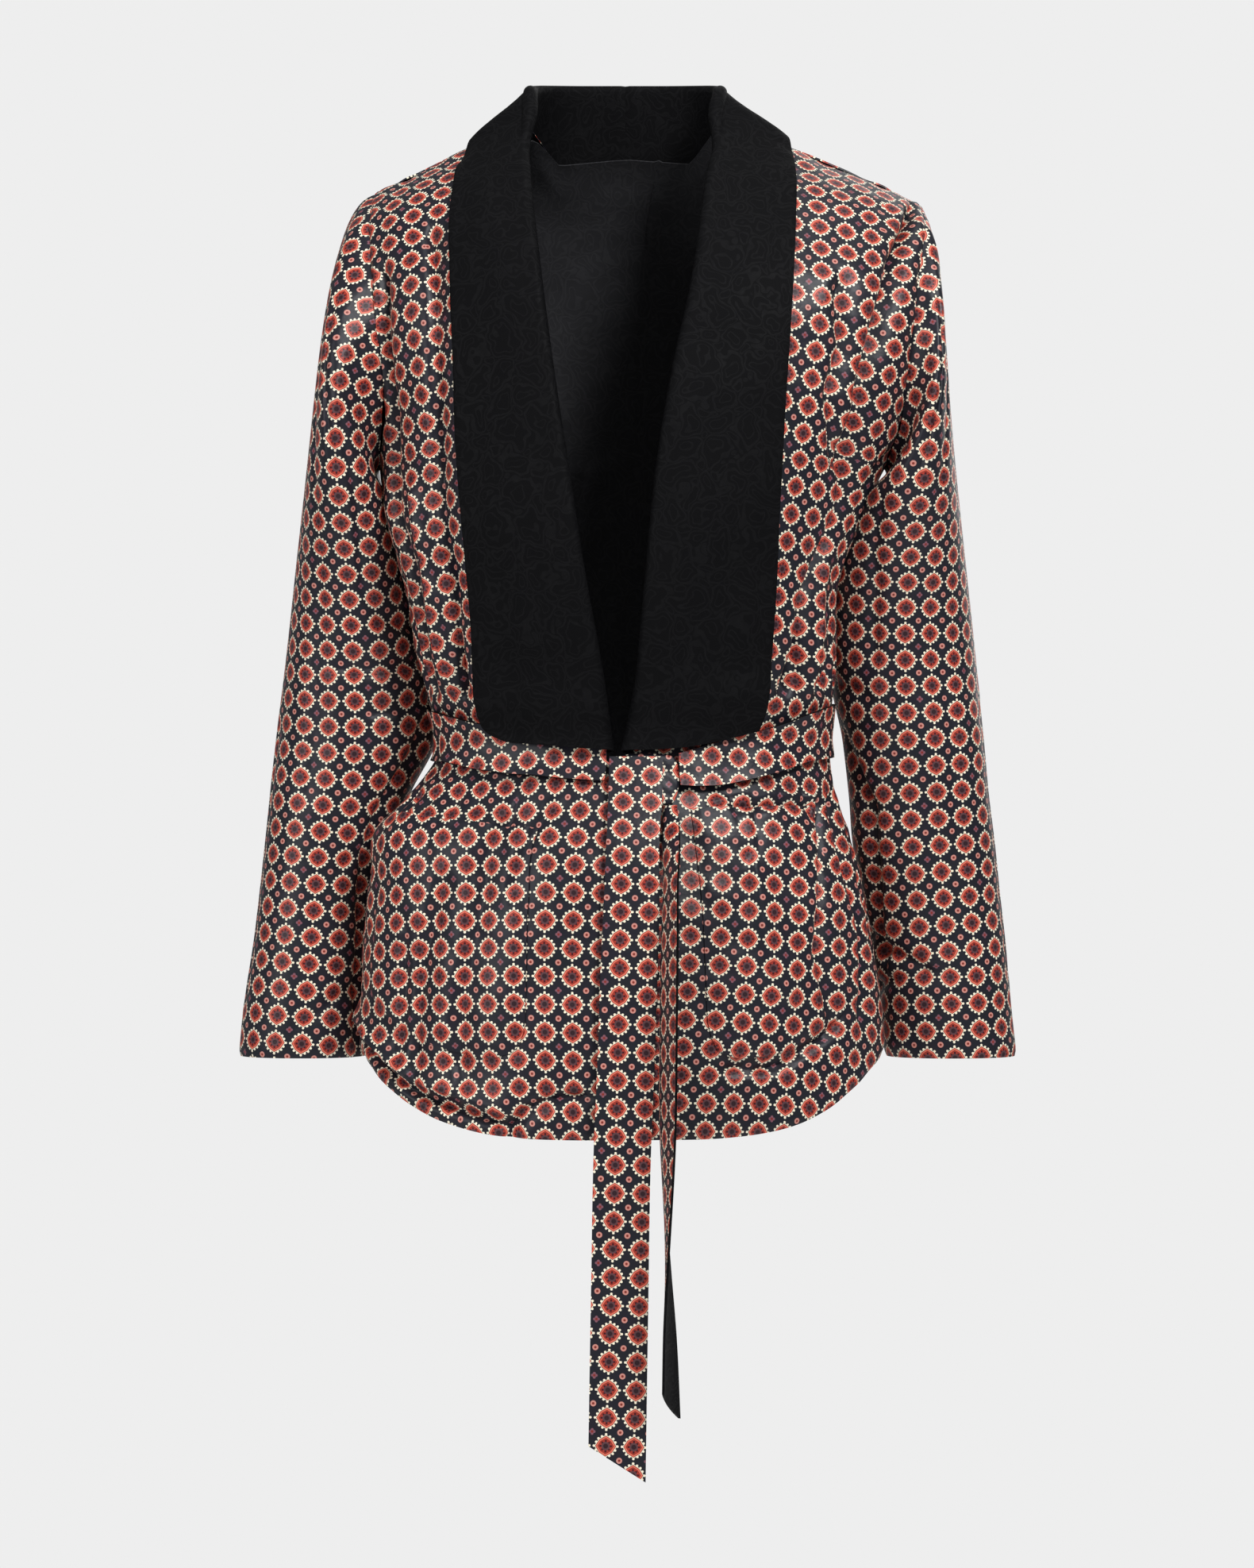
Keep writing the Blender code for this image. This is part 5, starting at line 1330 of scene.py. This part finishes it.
def neck_section(side, row, across):
    """One section of the collar at the neck: up the stand, over the roll and down the leaf."""
    station = {name: column[row] for name, column in NECK_STATIONS.items()}
    hand = "right" if side == RIGHT else "left"
    level = station["level"]
    radius = (LAPEL_RISE + FACING_SINK) / 2
    turn = turn_of(np.array(side * station[hand + "_x"]), level)
    if station["behind"]:
        turn = 180 - turn
        foot_level = neck_level(station["foot_x"])
        foot_turn = 180 - turn_of(np.array(side * station["foot_x"]), foot_level)
        inner = form(foot_turn, foot_level) + np.array([0, 0, FOOT_LIFT])
    else:
        foot_turn = turn_of(front_edge(side, np.array(level)), level)
        inner = form(foot_turn, level) - np.array([side * FOOT_INSET, 0, FOOT_SINK])
    middle = np.array([side * station[hand + "_roll"], station["roll_y"], station["roll_z"]])
    outer = body(turn, level, LAPEL_RISE)
    if level == SHOULDER_LEVEL:
        outer = form(turn, level) + np.array([0, 0, LAPEL_RISE * SHOULDER_RISE_SHARE])
    lean = np.radians(station["lean"])
    out = outer - inner
    out[2] = 0
    out = unit(out)
    tip = np.array([0, -np.sin(lean), np.cos(lean)])
    tip = unit(tip - out * np.dot(tip, out))
    stand, arc, leaf = section_parts(across)
    start = middle - out * radius
    end = middle + out * radius
    reach = np.linalg.norm(outer - end)
    knee = outer + facing(turn, level) * COLLAR_FOOT_RISE + (end - outer) * COLLAR_FOOT_SHARE
    shoulder = (end + (outer - end) * COLLAR_FOOT_SHARE - tip * reach * COLLAR_DIP_SHARE
                + out * COLLAR_FOOT_RISE)
    fall = bezier(end, shoulder, knee, outer, leaf[..., None])
    rise = inner + (start - inner) * stand[..., None]
    return section_places(across, rise, (middle, out, tip, radius, arc), fall)


def lapel_section(side, level, across):
    """One section of the lapel: the facing inside the front, the roll at its edge and the leaf outside."""
    source = LAPEL_STATIONS[side]
    station = {name: float(read(source, "roll_level", name, np.array(level))) for name in source}
    rise = lapel_rise(level)
    radius = roll_radius(level)
    centre_x = station["roll_x"] + side * (radius + COLLAR_WALL / 2)
    stand, arc, leaf = section_parts(across)
    width = float(read(FACING_WIDTHS, "level", "width", np.array(level)))
    inside_turn = turn_of(centre_x + side * width * (1 - stand), np.full(stand.shape, level))
    inside = body(inside_turn, level, lap(side, inside_turn) - FACING_SINK)
    leaf_level = level + (station["outer_level"] - level) * leaf - station["sag"] * np.sin(np.pi * leaf)
    leaf_turn = turn_of(centre_x + (station["outer_x"] - centre_x) * leaf, leaf_level)
    ridge = EDGE_RIDGE * (fade(leaf, *RIDGE_RISES) - RIDGE_FALL_SHARE * fade(leaf, *RIDGE_FALLS))
    outside = body(leaf_turn, leaf_level, lap(side, leaf_turn) + rise + ridge)
    edge_turn = turn_of(np.array(centre_x), np.array(level))
    start = body(edge_turn, level, lap(side, edge_turn) - FACING_SINK)
    end = body(edge_turn, level, lap(side, edge_turn) + rise)
    middle = (start + end) / 2
    out = (end - start) / (2 * radius)
    tip = unit(np.cross(out, np.array([0.0, 0.0, 1.0])) * side)
    return section_places(across, inside, (middle, out, tip, radius, arc), outside)


def between_sections(sections, at):
    """Places between a row of sections, read smoothly along the line that joins their middles."""
    steps = np.linalg.norm(np.diff(sections[:, sections.shape[1] // 2], axis=0), axis=1)
    knots = np.concatenate([[0], np.cumsum(steps)])
    way = at * knots[-1]
    low = np.clip(np.searchsorted(knots, way, side="right") - 1, 0, len(knots) - 2)
    span = (knots[low + 1] - knots[low])[:, None, None]
    part = (way - knots[low])[:, None, None] / span
    return between(sections, np.gradient(sections, knots, axis=0), low, part, span)


def collar_half(side):
    """Place of a point of half the collar; along runs from centre back to the lapel's end."""
    def place(along, across):
        if side == RIGHT:
            along = 1 - along
        runs, run = np.unique(np.round(along, 6), return_inverse=True)
        ways, way = np.unique(np.round(across, 6), return_inverse=True)
        sections = [neck_section(side, row, ways) for row in range(len(NECK_STATIONS["lean"]))]
        sections += [lapel_section(side, level, ways) for level in LAPEL_RINGS]
        sections = np.array(sections)
        sections[0, :, 0] = -side * SEAM
        fine = between_sections(sections, runs)[run, way]
        dip = SEAM_DIP * (1 - fade(np.abs(fine[:, 0]), 0, BACK_SEAM_REACH)) * (fine[:, 1] > 0)
        behind = np.tanh((fine[:, 1] - NECK_STATIONS["roll_y"][0]) / ROLL_DEPTH)
        fine[:, 1] -= dip * behind
        on_top = (1 - behind ** 2) * (fine[:, 2] > NECK_STATIONS["roll_z"][0])
        fine[:, 2] -= dip * TOP_DIP_SHARE * on_top
        return fine
    return place


# Pockets

POCKETS = {
    RIGHT: {"turn_a": -72.0, "turn_b": -20.0, "top_a": -0.4975, "top_b": -0.4985, "bottom": -0.664,
            "rise": 0.0031},
    LEFT: {"turn_a": 17.0, "turn_b": 59.0, "top_a": -0.4835, "top_b": -0.4865, "bottom": -0.662,
           "rise": 0.0023},
}
POCKET_CORNER = 0.20
CORNER_PULL = 0.17
CORNER_POWER = 6
CORNER_END = 0.999
CORNER_LIFT = 0.006
MOUTH_SHARE = (0.6, 1.0)
POCKET_EDGE = 0.07
POCKET_FOOT = 0.0014


def pocket(side):
    """Place of a point of a patch pocket with rounded lower corners, its mouth a little open."""
    size = POCKETS[side]

    def place(across, up):
        low = np.clip(1 - up / POCKET_CORNER, 0, 1)
        pull = 1 - CORNER_PULL * (1 - np.sqrt(1 - np.minimum(low, CORNER_END) ** 2))
        corner = np.abs(across * 2 - 1) ** CORNER_POWER
        turn = size["turn_a"] + (0.5 + (across - 0.5) * pull) * (size["turn_b"] - size["turn_a"])
        top = size["top_a"] + (size["top_b"] - size["top_a"]) * across
        level = size["bottom"] + up * (top - size["bottom"]) + CORNER_LIFT * corner * low
        gape = POCKET_GAPE * fade(up, *MOUTH_SHARE) * np.sin(np.pi * across)
        beside = fade(np.minimum(across, 1 - across), 0, POCKET_EDGE) * fade(up, 0, POCKET_EDGE)
        rise = POCKET_FOOT + (size["rise"] - POCKET_FOOT) * beside
        return body(turn, level, lap(side, turn) + rise + gape)
    return place


# Belt

BELT = table(("turn", "middle", "half_height"), [
    (-7.0, -0.4560, 0.0095),
    (14.0, -0.4500, 0.0150),
    (24.0, -0.4440, 0.0198),
    (48.0, -0.4390, 0.0200),
    (66.0, -0.4333, 0.0200),
    (90.0, -0.4315, 0.0200),
    (180.0, -0.4290, 0.0200),
    (265.0, -0.4270, 0.0200),
    (285.0, -0.4290, 0.0200),
    (302.0, -0.4325, 0.0198),
    (316.0, -0.4420, 0.0195),
    (330.0, -0.4505, 0.0180),
    (341.0, -0.4560, 0.0142),
    (345.5, -0.4572, 0.0118),
])
BELT_START = 5.5


def belt_wrap(across, up):
    """The belt round the waist, from the knot by the right side and the back to the knot again."""
    run = BELT_START + (1 - across) * (BELT["turn"][-1] - BELT_START)
    level = read(BELT, "turn", "middle", run) + (up * 2 - 1) * read(BELT, "turn", "half_height", run)
    turn = -run
    beside = fade(np.minimum(run, 360 - run), *BELT_SETTLES)
    return body(turn, level, BELT_RISE + (BELT_RISE_BEHIND - BELT_RISE) * beside)


KNOT = {"left": -0.0105, "right": 0.0372, "top": -0.4450, "bottom": -0.4835,
        "inside": 0.0043, "outside": 0.0092}
KNOT_CUTS = 26
KNOT_PLEATS = 5.0
KNOT_PLEAT_DEPTH = 0.0011
KNOT_PLEAT_FADE = (-1.0, 0.2)
KNOT_FAN = (1.9, -1.5)
KNOT_CORNER = 0.16
KNOT_THIN = 0.55
KNOT_FULL = 1.04
KNOT_MEDALLION = (0.0406, -0.4559)


def belt_knot(finish):
    """The half knot: a flattened roll of belt whose pleats fan out from its lower right corner."""
    bpy.ops.mesh.primitive_cube_add(size=2)
    piece = bpy.context.object
    piece.name = "belt_knot_cloth"
    mesh = piece.data
    mesh.name = piece.name
    work = bmesh.new()
    work.from_mesh(mesh)
    bmesh.ops.subdivide_edges(work, edges=work.edges, cuts=KNOT_CUTS, use_grid_fill=True)
    work.to_mesh(mesh)
    work.free()
    across, depth, up = vertex_places(mesh).T
    round_off = 1 - KNOT_CORNER * across * across * up * up
    x = (KNOT["left"] + KNOT["right"]) / 2 + across * round_off * (KNOT["right"] - KNOT["left"]) / 2
    level = (KNOT["top"] + KNOT["bottom"]) / 2 + up * round_off * (KNOT["top"] - KNOT["bottom"]) / 2
    fan = np.arctan2(up - KNOT_FAN[1], KNOT_FAN[0] - across)
    pleats = KNOT_PLEAT_DEPTH * np.abs(np.sin(fan * KNOT_PLEATS * 2)) * fade(across, *KNOT_PLEAT_FADE)
    edge = np.sqrt(np.clip((KNOT_FULL - across * across) * (KNOT_FULL - up * up), 0, 1))
    thick = (KNOT["outside"] - KNOT["inside"]) * (KNOT_THIN + (1 - KNOT_THIN) * edge) + pleats * edge
    rise = KNOT["inside"] + thick * (1 - depth) / 2
    places = body(turn_of(x, level), level, rise)
    mesh.vertices.foreach_set("co", places.ravel())
    map_cut(mesh, places[:, [0, 2]] - np.array(KNOT_MEDALLION) + PRINT_PITCH / 2)
    mesh.materials.append(finish)
    mesh.shade_smooth()
    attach(piece, "root")
    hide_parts("belt_knot")
    return piece


TAILS = {
    "belt_tail_broad": table(("z", "x", "y", "half_width", "turn"), [
        (-0.9420, -0.0058, -0.1440, 0.0200, 0.0),
        (-0.8300, -0.0040, -0.1445, 0.0200, 1.0),
        (-0.7150, -0.0018, -0.1445, 0.0200, 0.0),
        (-0.6600, 0.0006, -0.1435, 0.0200, -1.0),
        (-0.6000, 0.0025, -0.1415, 0.0200, 0.0),
        (-0.5500, 0.0044, -0.1375, 0.0196, 0.0),
        (-0.5050, 0.0054, -0.1310, 0.0186, 0.0),
        (-0.4700, 0.0072, -0.1193, 0.0190, 0.0),
        (-0.4462, 0.0076, -0.1130, 0.0188, 0.0)]),
    "belt_tail_narrow": table(("z", "x", "y", "half_width", "turn"), [
        (-0.9000, 0.0322, -0.1550, 0.0200, 107.0),
        (-0.8500, 0.0314, -0.1570, 0.0200, 102.0),
        (-0.8000, 0.0306, -0.1585, 0.0200, 92.0),
        (-0.7110, 0.0298, -0.1595, 0.0200, 76.0),
        (-0.6300, 0.0304, -0.1590, 0.0195, 74.0),
        (-0.5700, 0.0312, -0.1545, 0.0180, 73.0),
        (-0.5250, 0.0322, -0.1460, 0.0145, 70.0),
        (-0.4808, 0.0320, -0.1197, 0.0058, 38.0)]),
}
TAIL_END_SLANT = {"belt_tail_broad": 0.0127, "belt_tail_narrow": -0.0110}
TAIL_CUP = {"belt_tail_broad": 0.0006, "belt_tail_narrow": 0.0020}
TAIL_SLANT_POWER = 3


def belt_tail(name):
    """Place of a point of a hanging end of the belt, cut off at a slant."""
    source = TAILS[name]
    end = source["z"][0]
    start = source["z"][-1]

    def place(across, up):
        way = across * 2 - 1
        height = end + up * (start - end)
        turn = np.radians(read(source, "z", "turn", height))
        half = read(source, "z", "half_width", height)
        slant = -TAIL_END_SLANT[name] * way * (1 - up) ** TAIL_SLANT_POWER
        cup = TAIL_CUP[name] * (1 - way * way)
        x = read(source, "z", "x", height) + way * half * np.cos(turn) - cup * np.sin(turn)
        y = read(source, "z", "y", height) - way * half * np.sin(turn) - cup * np.cos(turn)
        return np.stack([x, y, height + slant], axis=-1)
    return place


# The jacket

printed = printed_satin("printed_satin")
jacquard = black_cloth("black_jacquard", BLACK, BLACK_FIGURE, 0.62, 0.0007)
# The lining's colours hold painted light: its black is lighter to make up for the weak light inside the
# jacket.
lining = black_cloth("black_lining", LINING_BLACK_WITH_PAINTED_LIGHT, LINING_FIGURE_WITH_PAINTED_LIGHT, 0.50, 0.0008)
reverse = black_cloth("black_reverse", BLACK, BLACK_FIGURE, 0.50, 0.0006)

RING_CELLS = len(RINGS) - 1
SLEEVE_CELLS = 2 * len(ARMHOLE_RINGS) - 2
FRONT_CELLS = (120, RING_CELLS * 9)
BACK_CELLS = (180, RING_CELLS * 8)
LINING_CELLS = (100, (len(LINING_RINGS) - 1) * 7)
SLEEVE_FINE_CELLS = (SLEEVE_CELLS * 6, 190)
COLLAR_FINE_CELLS = (180, COLLAR_CELLS * 4)
POCKET_CELLS = (72, 72)
BELT_CELLS = (420, 16)
TAIL_CELLS = (18, 200)
SATIN = [printed, reverse]
FRONT_GRAIN = 0.1

# Where the camera sees the middle of one medallion on each piece, across and up at the middle's depth
MEDALLIONS = {
    "front_right": (-0.1548, -0.1416),
    "front_left": (0.1445, -0.0898),
    "sleeve_right": (-0.1768, -0.4251),
    "sleeve_left": (0.2211, -0.3546),
    "belt_wrap": (-0.0900, -0.4505),
    "belt_tail_broad": (-0.0024, -0.4789),
}

for side, name in ((RIGHT, "right"), (LEFT, "left")):
    front = cloth("front_" + name, front_panel(side), FRONT_CELLS, PANEL_WALL, SATIN,
                  0.5 - side * FRONT_GRAIN, medallion=MEDALLIONS["front_" + name])
    cloth("sleeve_" + name, sleeve(side), SLEEVE_FINE_CELLS, PANEL_WALL, SATIN,
          closed=True, medallion=MEDALLIONS["sleeve_" + name])
    cloth("collar_" + name, collar_half(side), COLLAR_FINE_CELLS, COLLAR_WALL, [jacquard, jacquard])
    cloth("pocket_" + name, pocket(side), POCKET_CELLS, POCKET_WALL, SATIN,
          below=front)
cloth("back", back_panel(RINGS), BACK_CELLS, PANEL_WALL, SATIN)
cloth("back_lining", back_panel(LINING_RINGS, -LINING_SINK, LINING_DROP, LINING_SHARE), LINING_CELLS,
      LINING_WALL, [lining, lining])
cloth("belt_wrap", belt_wrap, BELT_CELLS, BELT_WALL, SATIN,
      medallion=MEDALLIONS["belt_wrap"], rim=1, with_pieces=[belt_knot(printed)])
cloth("belt_tail_broad", belt_tail("belt_tail_broad"), TAIL_CELLS, BELT_WALL, SATIN,
      medallion=MEDALLIONS["belt_tail_broad"], rim=1)
cloth("belt_tail_narrow", belt_tail("belt_tail_narrow"), TAIL_CELLS, BELT_WALL, SATIN,
      rim=1)

# Floor; the backdrop is the world, set up with the studio

studio = Finish("studio_floor")
studio.fill(studio.shader, {"Base Color": FLOOR_PAINT, "Roughness": FLOOR_ROUGHNESS})
bpy.ops.mesh.primitive_circle_add(vertices=FLOOR_SIDES, radius=FLOOR_REACH, fill_type="NGON",
                                  location=(0, 0, FLOOR_LEVEL))
floor = bpy.context.object
floor.name = "studio_floor"
floor.data.materials.append(studio.material)
